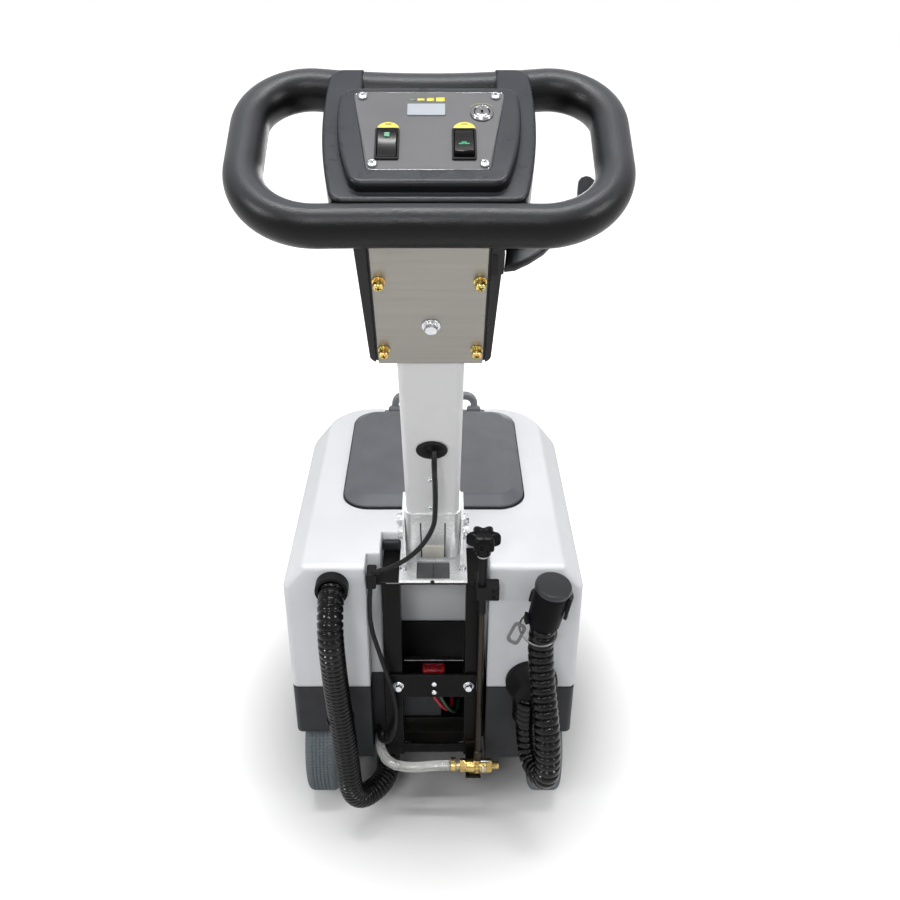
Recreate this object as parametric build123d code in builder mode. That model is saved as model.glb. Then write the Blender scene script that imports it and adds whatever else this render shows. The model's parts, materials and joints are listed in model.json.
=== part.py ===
from build123d import *
import math
import os

# Walk-behind battery floor scrubber. Millimetres, +Z up, +Y forward, +X to the operator's right.
# The origin is on the floor under the middle of the machine's length and width.

os.makedirs("parts", exist_ok=True)

# Fits
FIT = 0.4
RUNNING = 0.06
SEAT_GAP = 0.3

# Body
BODY_WIDTH = 438.0
BODY_LENGTH = 520.0
FRONT_CORNER = 110.0
BACK_CORNER = 10.0
WALL = 5.0
BASE_BOTTOM = 171.0
PARTING = 268.0
SEAM_DEEP = 1.5
SEAM_HIGH = 3.0
BELT = 460.0
HOOD_TOP = 499.0
TOP_INSET = 30.0
EDGE_SOFT = 8.0
INNER_CLEAR = 13.0
POD_OUT = 140.0
POD_DEEP = 48.0
POD_BOTTOM = 114.0

# Slot in the back of the body for the upright frame
SLOT_LEFT = -98.0
SLOT_RIGHT = 82.0
SLOT_STEP = 32.0
SLOT_INNER = -78.0
SLOT_DEPTH = 86.0
NOTCH_HALF = 52.0
NOTCH_DEPTH = 114.0
WINDOW_HALF = 56.0
WINDOW_HIGH = 59.5
WINDOW_DROP = 36.0
LEAD_GAP = 12.0

# Upright frame
RAIL_IN = 48.0
RAIL_OUT = 75.0
RAIL_DEEP = 30.0
RAIL_WALL = 2.5
RAIL_BOTTOM = 119.5
FRAME_TOP = 471.0
TOP_PLATE_T = 4.0
CROSS_BOTTOM = 250.0
CROSS_TOP = 295.0
CARRIER_TOP = 302.0
CROSS_T = 4.0
BOLT_X = 54.0

# Handle column, drawn along its own axis from the pivot
LEAN = 28.4
PIVOT_IN = 46.0
PIVOT_UP = 57.0
TUBE_WIDE = 72.6
TUBE_DEEP = 40.0
TUBE_WALL = 2.5
TUBE_BELOW = 44.0
FOOT_T = 2.0
FOOT_TOP = 95.0
FOOT_SLIT = 17.0
SLIT_TOP = 69.0
LOCK_REACH = 40.0
TILT_BACK = 12.0
TILT_FORWARD = 28.0
PIVOT_R = 5.0
CHEEK_T = 4.0
GROMMET_UP = 260.0
GROMMET_R = 18.0

# Column head and handle ring
HEAD_BOTTOM = 439.0
HEAD_TOP = 612.0
HEAD_BACK = -23.0
HEAD_FRONT = 45.0
PLATE_WIDE = 109.4
PLATE_BOTTOM = 436.0
RING_UP = 638.0
RING_NEAR = -24.6
RING_LONG = 195.0
NEAR_BOW = 3.0
FAR_BOW = 18.0
RING_HALF = 170.6
RING_FLAT_R = 18.2
RING_TALL_R = 21.0
NEAR_CORNER = 71.0
FAR_CORNER = 56.0
COLLAR_TOP = 660.5
ARM_IN = 63.0
PANEL_TOP = 671.5
PANEL_T = 2.0
TRUNNION_R = 1.5
LEVER_DROP = 42.0
LEVER_UP = RING_UP - RING_TALL_R - LEVER_DROP
LEVER_FORWARD = 14.0
LEVER_T = 10.0
LEVER_BOSS_R = 10.0
LEVER_PIN_R = 4.0
PANEL_SCREW_R = 4.2
PLATE_SCREW_R = 6.0

# Wheels
WHEEL_R = 96.0
WHEEL_WIDE = 50.0
WHEEL_SIDE = 11.0
WHEEL_IN_FROM_BACK = 74.0
HUB_R = 62.0
AXLE_R = 8.0

# Brush, deck and squeegee
BRUSH_R = 158.0
BRISTLE_LONG = 44.0
BRUSH_BACK_T = 14.0
DECK_R = 172.0
SKIRT_R = 176.0
SQUEEGEE_R = 203.0
SQUEEGEE_HALF_WIDE = 11.0
SQUEEGEE_SPAN = 66.0
SQUEEGEE_Z = 42.0
SQUEEGEE_HIGH = 12.0
LIFT = 15.0
LIFT_CLEAR = 1.5
MOTOR_R = 50.0
VACUUM_R = 58.0
TANK_HIGH = 145.0
TANK_LONG = 220.0
TANK_WALL = 4.0

# Lid and basin
LID_WIDE = 286.0
LID_FROM_BACK = 149.0
LID_FROM_FRONT = 55.0
LID_CORNER = 42.0
LID_HIGH = 13.0
LID_BEVEL = 20.0
SEAL_T = 2.5
BASIN_DEEP = 148.0

# Hoses
HOSE_R = 19.0
HOSE_VALLEY = 16.2
HOSE_BORE = 13.6
SUCTION_X = -146.0
SUCTION_Z = 466.0
SUCTION_TAIL_X = -76.0
DRAIN_X = 151.0
DRAIN_Z = 281.0
ELBOW_Z = 92.0
CLEAR_R = 8.0
CABLE_R = 3.5

# Water valve
ROD_X = 70.0
ROD_BACK = 25.0
VALVE_Z = 122.0
ROD_R = 5.0
KNOB_R = 24.0
KNOB_Z = 556.0

lean_sin = math.sin(math.radians(LEAN))
lean_cos = math.cos(math.radians(LEAN))
ring_reach = math.hypot(RING_FLAT_R * lean_cos, RING_TALL_R * lean_sin)
bow_r = (RING_HALF**2 + NEAR_BOW**2) / (2 * NEAR_BOW)
corner_x = RING_HALF - NEAR_CORNER
ring_low = RING_NEAR + NEAR_BOW - bow_r + math.sqrt((bow_r + NEAR_CORNER) ** 2 - corner_x**2) - NEAR_CORNER
handle_back = PIVOT_IN - RING_UP * lean_sin + ring_low * lean_cos - ring_reach
BACK_Y = -(BODY_LENGTH + handle_back) / 2
FRONT_Y = BACK_Y + BODY_LENGTH
SIDE = BODY_WIDTH / 2
PIVOT_Y = BACK_Y + PIVOT_IN
PIVOT_Z = FRAME_TOP + PIVOT_UP
COLUMN = Plane(origin=(0, PIVOT_Y, PIVOT_Z), x_dir=(1, 0, 0), z_dir=(0, -lean_sin, lean_cos))
COLUMN_BACK = Plane(
    origin=COLUMN.from_local_coords((0, -TUBE_DEEP / 2, 0)), x_dir=(1, 0, 0), z_dir=-COLUMN.y_dir
)
column_axis = Axis(COLUMN.origin, COLUMN.z_dir)
forward_axis = Axis(COLUMN.origin, COLUMN.y_dir)
REAR = Plane(origin=(0, BACK_Y, 0), x_dir=(1, 0, 0), z_dir=(0, -1, 0))

wheel_out = SIDE - WHEEL_SIDE
wheel_in = wheel_out - WHEEL_WIDE
wheel_y = BACK_Y + WHEEL_IN_FROM_BACK
well_in = wheel_in - 8.0
brush_y = FRONT_Y - SKIRT_R
floor_top = BASE_BOTTOM + WALL
chassis_bottom = BASE_BOTTOM - WALL
rod_y = BACK_Y - ROD_BACK


def save(builder, name):
    builder.part.label = name
    export_step(builder.part, f"parts/{name}.step")


def block(x, y, z, mode=Mode.ADD):
    """A box between two sides, two depths and two heights."""
    with Locations(((x[0] + x[1]) / 2, (y[0] + y[1]) / 2, (z[0] + z[1]) / 2)):
        Box(x[1] - x[0], y[1] - y[0], z[1] - z[0], mode=mode)


def post(x, y, z, radius, mode=Mode.ADD):
    """An upright cylinder between two heights."""
    with Locations((x, y, (z[0] + z[1]) / 2)):
        Cylinder(radius, z[1] - z[0], mode=mode)


def shaft(x, y, z, radius, mode=Mode.ADD):
    """A cylinder lying along X between two sides."""
    with Locations(Location(((x[0] + x[1]) / 2, y, z), (0, 90, 0))):
        Cylinder(radius, x[1] - x[0], mode=mode)


def stud(x, y, z, radius, mode=Mode.ADD):
    """A cylinder lying along Y between two depths."""
    with Locations(Location((x, (y[0] + y[1]) / 2, z), (90, 0, 0))):
        Cylinder(radius, y[1] - y[0], mode=mode)


def mirrored(side, near, far):
    """A range of X on one side of the middle, in rising order."""
    return (near, far) if side > 0 else (-far, -near)


def on_column(x, forward, up):
    """A point given along the column, in the machine's own frame."""
    return COLUMN.from_local_coords((x, forward, up))


def body_outline(z, side=0.0, back=0.0):
    """The body seen from above at one height, drawn in at the sides and front, and at the back."""
    near = BACK_Y + back
    far = FRONT_Y - side
    with BuildSketch(Plane.XY.offset(z)) as outline:
        with Locations((0, (near + far) / 2)):
            Rectangle(BODY_WIDTH - 2 * side, far - near)
        fillet(outline.vertices().group_by(Axis.Y)[-1], FRONT_CORNER - side)
        fillet(outline.vertices().group_by(Axis.Y)[0], BACK_CORNER)
    return outline.sketch


def frame_slot(grow):
    """Cuts the stepped slot that takes the upright frame."""
    low = POD_BOTTOM - WALL
    high = HOOD_TOP + WALL
    near = BACK_Y - 1
    right = SLOT_RIGHT + grow
    block((SLOT_LEFT - grow, right), (near, BACK_Y + SLOT_STEP + grow), (low, high), Mode.SUBTRACT)
    block((SLOT_INNER - grow, right), (near, BACK_Y + SLOT_DEPTH + grow), (low, high), Mode.SUBTRACT)
    notch = NOTCH_HALF + grow
    floor = FRAME_TOP - WALL - grow
    block((-notch, notch), (near, BACK_Y + NOTCH_DEPTH + grow), (floor, high), Mode.SUBTRACT)


def wheel_wells(grow):
    """Cuts the two wells over the wheels."""
    top = 2 * WHEEL_R + 10 + grow
    far = wheel_y + WHEEL_R + 12 + grow
    for side in (-1, 1):
        x = mirrored(side, well_in - grow, wheel_out + 3 + grow)
        block(x, (BACK_Y + WALL - grow, far), (BASE_BOTTOM - 1, top), Mode.SUBTRACT)


def cord_path(name, points):
    """Straight runs joined by tangent arcs through the points."""
    radii = []
    for before, here, after in zip(points, points[1:], points[2:]):
        run_in = Vector(here) - Vector(before)
        run_out = Vector(after) - Vector(here)
        half_turn = math.radians(run_in.get_angle(run_out)) / 2
        radii.append(0.45 * min(run_in.length, run_out.length) / math.tan(half_turn))
    with BuildLine() as path:
        FilletPolyline(*points, radius=radii)
    wire = path.wires()[0]
    print(name, "length", round(wire.length), "radii", [round(radius) for radius in radii])
    return wire


def round_cord(wire, radius, mode=Mode.ADD):
    """A round cord swept along a path."""
    with BuildSketch(Plane(origin=wire @ 0, z_dir=wire % 0)) as section:
        Circle(radius)
    sweep(sections=section.sketch, path=wire, mode=mode)


def ribbed_hose(wire, pitch):
    """A hose of flat-topped ribs along a path, with its bore."""
    count = int(wire.length // pitch)
    step = wire.length / count
    rib = ((0.0, HOSE_VALLEY), (0.22, HOSE_R), (0.6, HOSE_R), (0.8, HOSE_VALLEY))
    stations = [((i + at) * step, radius) for i in range(count) for at, radius in rib]
    stations.append((wire.length, HOSE_VALLEY))
    across = Vector(1, 0.01, 0.02)
    circles = []
    for distance, radius in stations:
        along = wire % (distance / wire.length)
        across = (across - along * across.dot(along)).normalized()
        here = Plane(origin=wire @ (distance / wire.length), x_dir=across, z_dir=along)
        with BuildSketch(here) as circle:
            Circle(radius)
        circles.append(circle.sketch)
    loft(circles, ruled=True)
    round_cord(wire, HOSE_BORE, Mode.SUBTRACT)


def hex_bolts(plane, places, radius, head, washer):
    """Bolt heads on their washers, standing on a plane."""
    with BuildSketch(plane) as washers:
        with Locations(*places):
            Circle(washer)
    extrude(washers.sketch, amount=1.5)
    with BuildSketch(plane.offset(1.5)) as heads:
        with Locations(*places):
            RegularPolygon(radius, 6)
    extrude(heads.sketch, amount=head)


def round_screws(plane, places, radius, head, stem=0.0):
    """Round screw heads on a plane, each with its stem below where the plate has a hole for it."""
    with BuildSketch(plane) as heads:
        with Locations(*places):
            Circle(radius)
    extrude(heads.sketch, amount=head)
    if stem:
        with BuildSketch(plane) as stems:
            with Locations(*places):
                Circle(radius / 2)
        extrude(stems.sketch, amount=-stem)


# White hood: an open-bottomed moulding with the lid opening in its top
lid_long = BODY_LENGTH - LID_FROM_BACK - LID_FROM_FRONT
opening_wide = LID_WIDE - 36
opening_long = lid_long - 40
lid_y = BACK_Y + LID_FROM_BACK + lid_long / 2

with BuildPart() as hood_room:
    extrude(body_outline(PARTING - WALL, WALL, WALL), amount=BELT - PARTING + WALL)
    inner_top = body_outline(HOOD_TOP - WALL, TOP_INSET + WALL, WALL)
    loft([body_outline(BELT, WALL, WALL), inner_top], ruled=True)
    frame_slot(WALL)

with BuildPart() as tank_hood:
    extrude(body_outline(PARTING), amount=BELT - PARTING)
    loft([body_outline(BELT), body_outline(HOOD_TOP, TOP_INSET)], ruled=True)
    fillet(tank_hood.faces().sort_by(Axis.Z)[-1].edges(), EDGE_SOFT)
    frame_slot(0)
    add(hood_room.part, mode=Mode.SUBTRACT)
    with BuildSketch(Plane.XY.offset(HOOD_TOP + 1)):
        with Locations((0, lid_y)):
            RectangleRounded(opening_wide, opening_long, LID_CORNER - 10)
    extrude(amount=-WALL - 2, mode=Mode.SUBTRACT)
    block(
        (-WINDOW_HALF, WINDOW_HALF),
        (BACK_Y + SLOT_DEPTH - 1, BACK_Y + SLOT_DEPTH + WALL + 1),
        (PARTING - 1, PARTING + WINDOW_HIGH),
        Mode.SUBTRACT,
    )
    stud(SUCTION_X, (BACK_Y - 1, BACK_Y + WALL + 1), SUCTION_Z, HOSE_R + 1, Mode.SUBTRACT)
save(tank_hood, "tank_hood")

# Recovery basin hung inside the hood's opening
basin_top = HOOD_TOP - WALL
with BuildPart() as recovery_basin:
    with BuildSketch(Plane.XY.offset(basin_top)):
        with Locations((0, lid_y)):
            RectangleRounded(opening_wide + 20, opening_long + 20, LID_CORNER)
    extrude(amount=-3)
    with BuildSketch(Plane.XY.offset(basin_top)):
        with Locations((0, lid_y)):
            RectangleRounded(opening_wide + 6, opening_long + 6, LID_CORNER - 7)
    extrude(amount=-BASIN_DEEP)
    with BuildSketch(Plane.XY.offset(basin_top)):
        with Locations((0, lid_y)):
            RectangleRounded(opening_wide, opening_long, LID_CORNER - 10)
    extrude(amount=3 - BASIN_DEEP, mode=Mode.SUBTRACT)
save(recovery_basin, "recovery_basin")

# Dark base shell with its wheel wells, the two pods between the wheels and the hole over the brush motor
with BuildPart() as base_room:
    extrude(body_outline(floor_top, WALL, WALL), amount=PARTING - floor_top + 1)
    block(
        (WALL - POD_OUT, POD_OUT - WALL),
        (BACK_Y + WALL, BACK_Y + POD_DEEP - WALL),
        (POD_BOTTOM + WALL, floor_top + 1),
    )
    frame_slot(WALL)
    wheel_wells(WALL)

wall_y = BACK_Y + RAIL_DEEP + 4
with BuildPart() as base_shell:
    extrude(body_outline(BASE_BOTTOM), amount=PARTING - SEAM_HIGH - BASE_BOTTOM)
    extrude(body_outline(PARTING - SEAM_HIGH, SEAM_DEEP, SEAM_DEEP), amount=SEAM_HIGH)
    block((-POD_OUT, POD_OUT), (BACK_Y, BACK_Y + POD_DEEP), (POD_BOTTOM, BASE_BOTTOM))
    frame_slot(0)
    add(base_room.part, mode=Mode.SUBTRACT)
    wheel_wells(0)
    post(0, brush_y, (BASE_BOTTOM - 1, floor_top + 1), MOTOR_R + 4, Mode.SUBTRACT)
    block((SLOT_INNER - 1, LEAD_GAP), (wall_y, wall_y + WALL), (BASE_BOTTOM, CROSS_BOTTOM - 2))
    block(
        (-WINDOW_HALF, WINDOW_HALF),
        (BACK_Y + SLOT_DEPTH - 1, BACK_Y + SLOT_DEPTH + WALL + 1),
        (PARTING - WINDOW_DROP, PARTING + 1),
        Mode.SUBTRACT,
    )
save(base_shell, "base_shell")

# Steel plate under the base, with a tongue to the rails and the guides of the squeegee's lift rods
rod_turn = math.radians(38)
lift_rod_x = SQUEEGEE_R * math.sin(rod_turn)
lift_rod_y = brush_y - SQUEEGEE_R * math.cos(rod_turn)
lift_rod_top = chassis_bottom - LIFT - 5
guide_bottom = lift_rod_top - 20
chassis_half = well_in - 4
carrier_y = BACK_Y + RAIL_DEEP
plate_y = BACK_Y + POD_DEEP + 2
with BuildPart() as chassis_plate:
    block((-chassis_half, chassis_half), (plate_y, brush_y + 92), (chassis_bottom, BASE_BOTTOM))
    block((SLOT_INNER + 2, SLOT_RIGHT - 2), (carrier_y, plate_y), (chassis_bottom, BASE_BOTTOM))
    block((-RAIL_IN, RAIL_IN), (carrier_y, carrier_y + 4), (chassis_bottom - 28, chassis_bottom))
    post(0, brush_y, (chassis_bottom - 1, BASE_BOTTOM + 1), MOTOR_R + 2, Mode.SUBTRACT)
    for side in (-1, 1):
        post(side * lift_rod_x, lift_rod_y, (guide_bottom, chassis_bottom), 10)
        post(side * lift_rod_x, lift_rod_y, (guide_bottom - 1, chassis_bottom), 5 + RUNNING, Mode.SUBTRACT)
save(chassis_plate, "chassis_plate")

# Upright frame: two box rails, a top plate with a tab for the cable clip, and a shelf for the valve
rail_top = FRAME_TOP - TOP_PLATE_T
valve_shelf = VALVE_Z - 12
with BuildPart() as upright_frame:
    for side in (-1, 1):
        x = mirrored(side, RAIL_IN, RAIL_OUT)
        bore = mirrored(side, RAIL_IN + RAIL_WALL, RAIL_OUT - RAIL_WALL)
        block(x, (BACK_Y, BACK_Y + RAIL_DEEP), (RAIL_BOTTOM, rail_top))
        depth = (BACK_Y + RAIL_WALL, BACK_Y + RAIL_DEEP - RAIL_WALL)
        block(bore, depth, (RAIL_BOTTOM - 1, rail_top + 1), Mode.SUBTRACT)
    block((-RAIL_OUT, RAIL_OUT), (BACK_Y - 1, BACK_Y + SLOT_DEPTH - 2), (rail_top, FRAME_TOP))
    block((-RAIL_OUT - 20, -RAIL_OUT), (BACK_Y - 1, BACK_Y + 26), (rail_top, FRAME_TOP))
    block((-RAIL_IN, RAIL_IN), (BACK_Y + 5, BACK_Y + 9), (RAIL_BOTTOM, RAIL_BOTTOM + 18))
    block((RAIL_IN + 3, RAIL_OUT), (BACK_Y - 4, BACK_Y), (valve_shelf - 4, VALVE_Z + 30))
    block((RAIL_IN + 3, RAIL_OUT), (rod_y - 12, BACK_Y), (valve_shelf - 4, valve_shelf))
save(upright_frame, "upright_frame")

# Cross plate bolted over the rails, with the connector's carrier standing behind it
with BuildPart() as cross_plate:
    block((-RAIL_OUT + 2, RAIL_OUT - 2), (BACK_Y - CROSS_T, BACK_Y), (CROSS_BOTTOM, CROSS_TOP))
    block((-RAIL_IN + 1, RAIL_IN - 1), (BACK_Y, carrier_y), (CROSS_BOTTOM, CROSS_BOTTOM + 3))
    block((-RAIL_IN + 1, RAIL_IN - 1), (carrier_y - 3, carrier_y), (CROSS_BOTTOM, CARRIER_TOP))
    block((-RAIL_IN + 1, RAIL_IN - 1), (carrier_y - 8, carrier_y), (CARRIER_TOP - 3, CARRIER_TOP))
save(cross_plate, "cross_plate")

# Zinc bracket that carries the column's pivot
cheek_in = TUBE_WIDE / 2 + FOOT_T + 1.2
bracket_top = PIVOT_Z + 58
bracket_y = (BACK_Y - 2, BACK_Y + SLOT_DEPTH - 4)
bracket_floor = FRAME_TOP + CHEEK_T
bracket_half = cheek_in + CHEEK_T + 6
with BuildPart() as column_bracket:
    block((-bracket_half, bracket_half), bracket_y, (FRAME_TOP, bracket_floor))
    block((-24, 24), (BACK_Y + 3, BACK_Y + 46), (FRAME_TOP - 1, bracket_floor + 1), Mode.SUBTRACT)
    with BuildLine() as lock_path:
        CenterArc(
            (PIVOT_Y, PIVOT_Z), LOCK_REACH, 90 + LEAN - TILT_FORWARD - 2, TILT_FORWARD + TILT_BACK + 4
        )
    for inner in (cheek_in, -cheek_in - CHEEK_T):
        with BuildSketch(Plane.YZ.offset(inner)):
            Polygon(
                (BACK_Y + 36, bracket_floor),
                (BACK_Y + SLOT_DEPTH - 6, bracket_floor),
                (BACK_Y + SLOT_DEPTH - 6, PIVOT_Z),
                (BACK_Y + PIVOT_IN + 16, bracket_top),
                (BACK_Y + 6, bracket_top - 10),
                align=None,
            )
            with Locations((PIVOT_Y, PIVOT_Z)):
                Circle(PIVOT_R + RUNNING, mode=Mode.SUBTRACT)
            SlotArc(lock_path.edges()[0], 9, mode=Mode.SUBTRACT)
        extrude(amount=CHEEK_T)
save(column_bracket, "column_bracket")

# Bolts of the cross plate and of the bracket's flange
cross_middle = (CROSS_BOTTOM + CROSS_TOP) / 2
with BuildPart() as frame_bolts:
    plate_face = REAR.offset(CROSS_T)
    hex_bolts(plate_face, [(-BOLT_X, cross_middle + 1), (BOLT_X, cross_middle + 1)], 7.5, 5.3, 8)
    round_screws(plate_face, [(1, cross_middle + 5), (1, cross_middle - 12)], 4.2, 2.6)
    flange = Plane.XY.offset(bracket_floor)
    for near, half in ((25, bracket_half - 6), (74, 33)):
        hex_bolts(flange, [(-half, BACK_Y + near), (half, BACK_Y + near)], 6, 4, 5.6)
save(frame_bolts, "frame_bolts")

# Axle brackets under the chassis plate, each with its stub axle
with BuildPart() as axle_brackets:
    for side in (-1, 1):
        block(
            mirrored(side, wheel_in - 15, wheel_in - 9),
            (wheel_y - 24, wheel_y + 24),
            (WHEEL_R - 20, chassis_bottom),
        )
        block(
            mirrored(side, wheel_in - 55, wheel_in - 15),
            (wheel_y - 24, wheel_y + 24),
            (chassis_bottom - 6, chassis_bottom),
        )
        shaft(mirrored(side, wheel_in - 9, wheel_in - SEAT_GAP), wheel_y, WHEEL_R, 13)
        shaft(mirrored(side, wheel_in - 9, wheel_out + SEAT_GAP), wheel_y, WHEEL_R, AXLE_R)
        shaft(mirrored(side, wheel_out + SEAT_GAP, wheel_out + 5), wheel_y, WHEEL_R, 13)
save(axle_brackets, "axle_brackets")

# Battery, its red connector and its two leads
battery_y = BACK_Y + SLOT_DEPTH + WALL + 4
with BuildPart() as battery:
    block((-85, 85), (battery_y, battery_y + 150), (floor_top, floor_top + 140))
    fillet(battery.edges().filter_by(Axis.Z), 6)
    for side in (-1, 1):
        post(side * 60, battery_y + 25, (floor_top + 140, floor_top + 150), 7)
save(battery, "battery")

with BuildPart() as power_connector:
    block((-17, 17), (carrier_y - 19, carrier_y - 3), (CARRIER_TOP - 19, CARRIER_TOP - 3))
    fillet(power_connector.edges().filter_by(Axis.Y), 2)
save(power_connector, "power_connector")

lead_top = CROSS_BOTTOM - 1
with BuildPart() as battery_leads:
    for x, out in ((-4, 0), (7, 5)):
        lead = cord_path(
            "battery lead",
            [
                (x, carrier_y - 12, lead_top),
                (x + 2, carrier_y - 12.5, lead_top - 14),
                (x + 12, carrier_y - 12, lead_top - 33 - out),
                (x + 22, carrier_y - 8, lead_top - 51 - out),
                (x + 31, carrier_y + 6, lead_top - 64 - out),
                (x + 34, carrier_y + 30, lead_top - 69 - out),
                (x + 34, BACK_Y + SLOT_DEPTH, lead_top - 69 - out),
            ],
        )
        round_cord(lead, 3)
save(battery_leads, "battery_leads")

# Brush motor, standing on the deck through the base
deck_top = BRISTLE_LONG + BRUSH_BACK_T + 44
shaft_top = deck_top + 24
with BuildPart() as brush_motor:
    post(0, brush_y, (deck_top, deck_top + 8), 65)
    post(0, brush_y, (deck_top, BASE_BOTTOM + 130), MOTOR_R)
    post(0, brush_y, (BASE_BOTTOM + 130, BASE_BOTTOM + 138), 20)
    post(0, brush_y, (deck_top - 1, shaft_top + 1), 10 + RUNNING, Mode.SUBTRACT)
save(brush_motor, "brush_motor")

# Brush deck, hung from the chassis plate on three posts
with BuildPart() as brush_deck:
    post(0, brush_y, (deck_top - 40, deck_top), DECK_R)
    post(0, brush_y, (deck_top - 41, deck_top - 6), DECK_R - 4, Mode.SUBTRACT)
    post(0, brush_y, (deck_top - 7, deck_top + 1), 30, Mode.SUBTRACT)
    fillet(brush_deck.faces().sort_by(Axis.Z)[-1].edges().sort_by(SortBy.LENGTH)[-1], 3)
    with Locations((0, brush_y, (deck_top + chassis_bottom) / 2)):
        with PolarLocations(105, 3, -90):
            Cylinder(8, chassis_bottom - deck_top)
save(brush_deck, "brush_deck")

with BuildPart() as splash_skirt:
    post(0, brush_y, (12, deck_top - 8), SKIRT_R)
    post(0, brush_y, (11, deck_top - 7), DECK_R + 0.2, Mode.SUBTRACT)
save(splash_skirt, "splash_skirt")

# Brush: backing with its drive shaft, and the bristle ring
with BuildPart() as brush_disc:
    post(0, brush_y, (BRISTLE_LONG, BRISTLE_LONG + BRUSH_BACK_T), BRUSH_R)
    post(0, brush_y, (BRISTLE_LONG + BRUSH_BACK_T, deck_top - 12), 25)
    post(0, brush_y, (BRISTLE_LONG + BRUSH_BACK_T, shaft_top), 10)
save(brush_disc, "brush_disc")

with BuildPart() as brush_bristles:
    post(0, brush_y, (BRISTLE_LONG - 3, BRISTLE_LONG), BRUSH_R - 1)
    post(0, brush_y, (BRISTLE_LONG - 4, BRISTLE_LONG + 1), 60, Mode.SUBTRACT)
    for ring in (68, 86, 104, 122, 138, 152):
        with Locations((0, brush_y, (BRISTLE_LONG - 2) / 2)):
            with PolarLocations(ring, round(ring / 2)):
                Box(5, 5, BRISTLE_LONG - 2)
save(brush_bristles, "brush_bristles")

# Vacuum motor and its fan
vacuum_x = SIDE - WALL - INNER_CLEAR - VACUUM_R
vacuum_y = brush_y - 30
fan_floor = floor_top + 70
fan_roof = fan_floor + 48
with BuildPart() as vacuum_motor:
    post(vacuum_x, vacuum_y, (floor_top, fan_roof + 8), VACUUM_R)
    post(vacuum_x, vacuum_y, (fan_floor, fan_roof), VACUUM_R - 7, Mode.SUBTRACT)
    post(vacuum_x, vacuum_y, (fan_roof - 1, fan_roof + 9), 22, Mode.SUBTRACT)
    post(vacuum_x, vacuum_y, (fan_floor - 1, fan_floor + 42), 6)
save(vacuum_motor, "vacuum_motor")

with BuildPart() as vacuum_fan:
    post(vacuum_x, vacuum_y, (fan_floor + 5, fan_floor + 9), VACUUM_R - 11)
    post(vacuum_x, vacuum_y, (fan_floor + 5, fan_floor + 38), 14)
    with Locations((vacuum_x, vacuum_y, fan_floor + 22)):
        with PolarLocations(29, 9):
            Box(34, 3, 27)
    post(vacuum_x, vacuum_y, (fan_floor + 4, fan_floor + 39), 6 + RUNNING, Mode.SUBTRACT)
save(vacuum_fan, "vacuum_fan")

# Solution tank on the left of the brush motor
tank_out = WALL + INNER_CLEAR - SIDE
tank_in = -MOTOR_R - 42
tank_top = floor_top + TANK_HIGH
with BuildPart() as solution_tank:
    block((tank_out, tank_in), (brush_y - TANK_LONG / 2, brush_y + TANK_LONG / 2), (floor_top, tank_top))
    fillet(solution_tank.edges().filter_by(Axis.Z), 12)
    block(
        (tank_out + TANK_WALL, tank_in - TANK_WALL),
        (brush_y - TANK_LONG / 2 + TANK_WALL, brush_y + TANK_LONG / 2 - TANK_WALL),
        (floor_top + TANK_WALL, tank_top - TANK_WALL),
        Mode.SUBTRACT,
    )
    post((tank_out + tank_in) / 2, brush_y, (tank_top - TANK_WALL - 1, tank_top + 1), 18, Mode.SUBTRACT)
save(solution_tank, "solution_tank")

# Lid with its bevelled border, its seal and its hinge
lid_bottom = HOOD_TOP + SEAL_T + SEAT_GAP
rim_top = lid_bottom + 3
hinge_y = lid_y + lid_long / 2 + 7
hinge_z = lid_bottom + 4.5
hinge_x = (52.0, 60.0, 84.0, 92.0)


def lid_outline(z, inset):
    """The lid seen from above, drawn in by the inset."""
    with BuildSketch(Plane.XY.offset(z)) as outline:
        with Locations((0, lid_y)):
            RectangleRounded(LID_WIDE - 2 * inset, lid_long - 2 * inset, LID_CORNER - inset)
    return outline.sketch


with BuildPart() as lid:
    extrude(lid_outline(lid_bottom, 0), amount=3)
    loft([lid_outline(rim_top, 0), lid_outline(lid_bottom + LID_HIGH, LID_BEVEL)], ruled=True)
    fillet(lid.faces().sort_by(Axis.Z)[-1].edges(), 5)
    extrude(lid_outline(lid_bottom - 1, 12), amount=3, mode=Mode.SUBTRACT)
    ceiling = lid_outline(lid_bottom + LID_HIGH - 3, LID_BEVEL + 4)
    loft([lid_outline(lid_bottom + 2, 12), ceiling], ruled=True, mode=Mode.SUBTRACT)
    for side in (-1, 1):
        x = mirrored(side, hinge_x[1], hinge_x[2])
        block(x, (hinge_y - 9, hinge_y), (lid_bottom + 0.5, lid_bottom + 3))
        shaft(x, hinge_y, hinge_z, 5)
        shaft(x, hinge_y, hinge_z, 2.5 + RUNNING, Mode.SUBTRACT)
save(lid, "lid")

with BuildPart() as lid_seal:
    extrude(lid_outline(HOOD_TOP, -2), amount=SEAL_T)
    extrude(lid_outline(HOOD_TOP - 1, 14), amount=SEAL_T + 2, mode=Mode.SUBTRACT)
save(lid_seal, "lid_seal")

with BuildPart() as lid_hinge:
    for side in (-1, 1):
        shaft(mirrored(side, hinge_x[0], hinge_x[3]), hinge_y, hinge_z, 2.5)
        for ear in ((hinge_x[0], hinge_x[1] - 0.6), (hinge_x[2] + 0.6, hinge_x[3])):
            x = mirrored(side, *ear)
            block(x, (hinge_y - 4, hinge_y + 5), (HOOD_TOP, hinge_z))
            shaft(x, hinge_y, hinge_z, 4.5)
save(lid_hinge, "lid_hinge")

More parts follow.
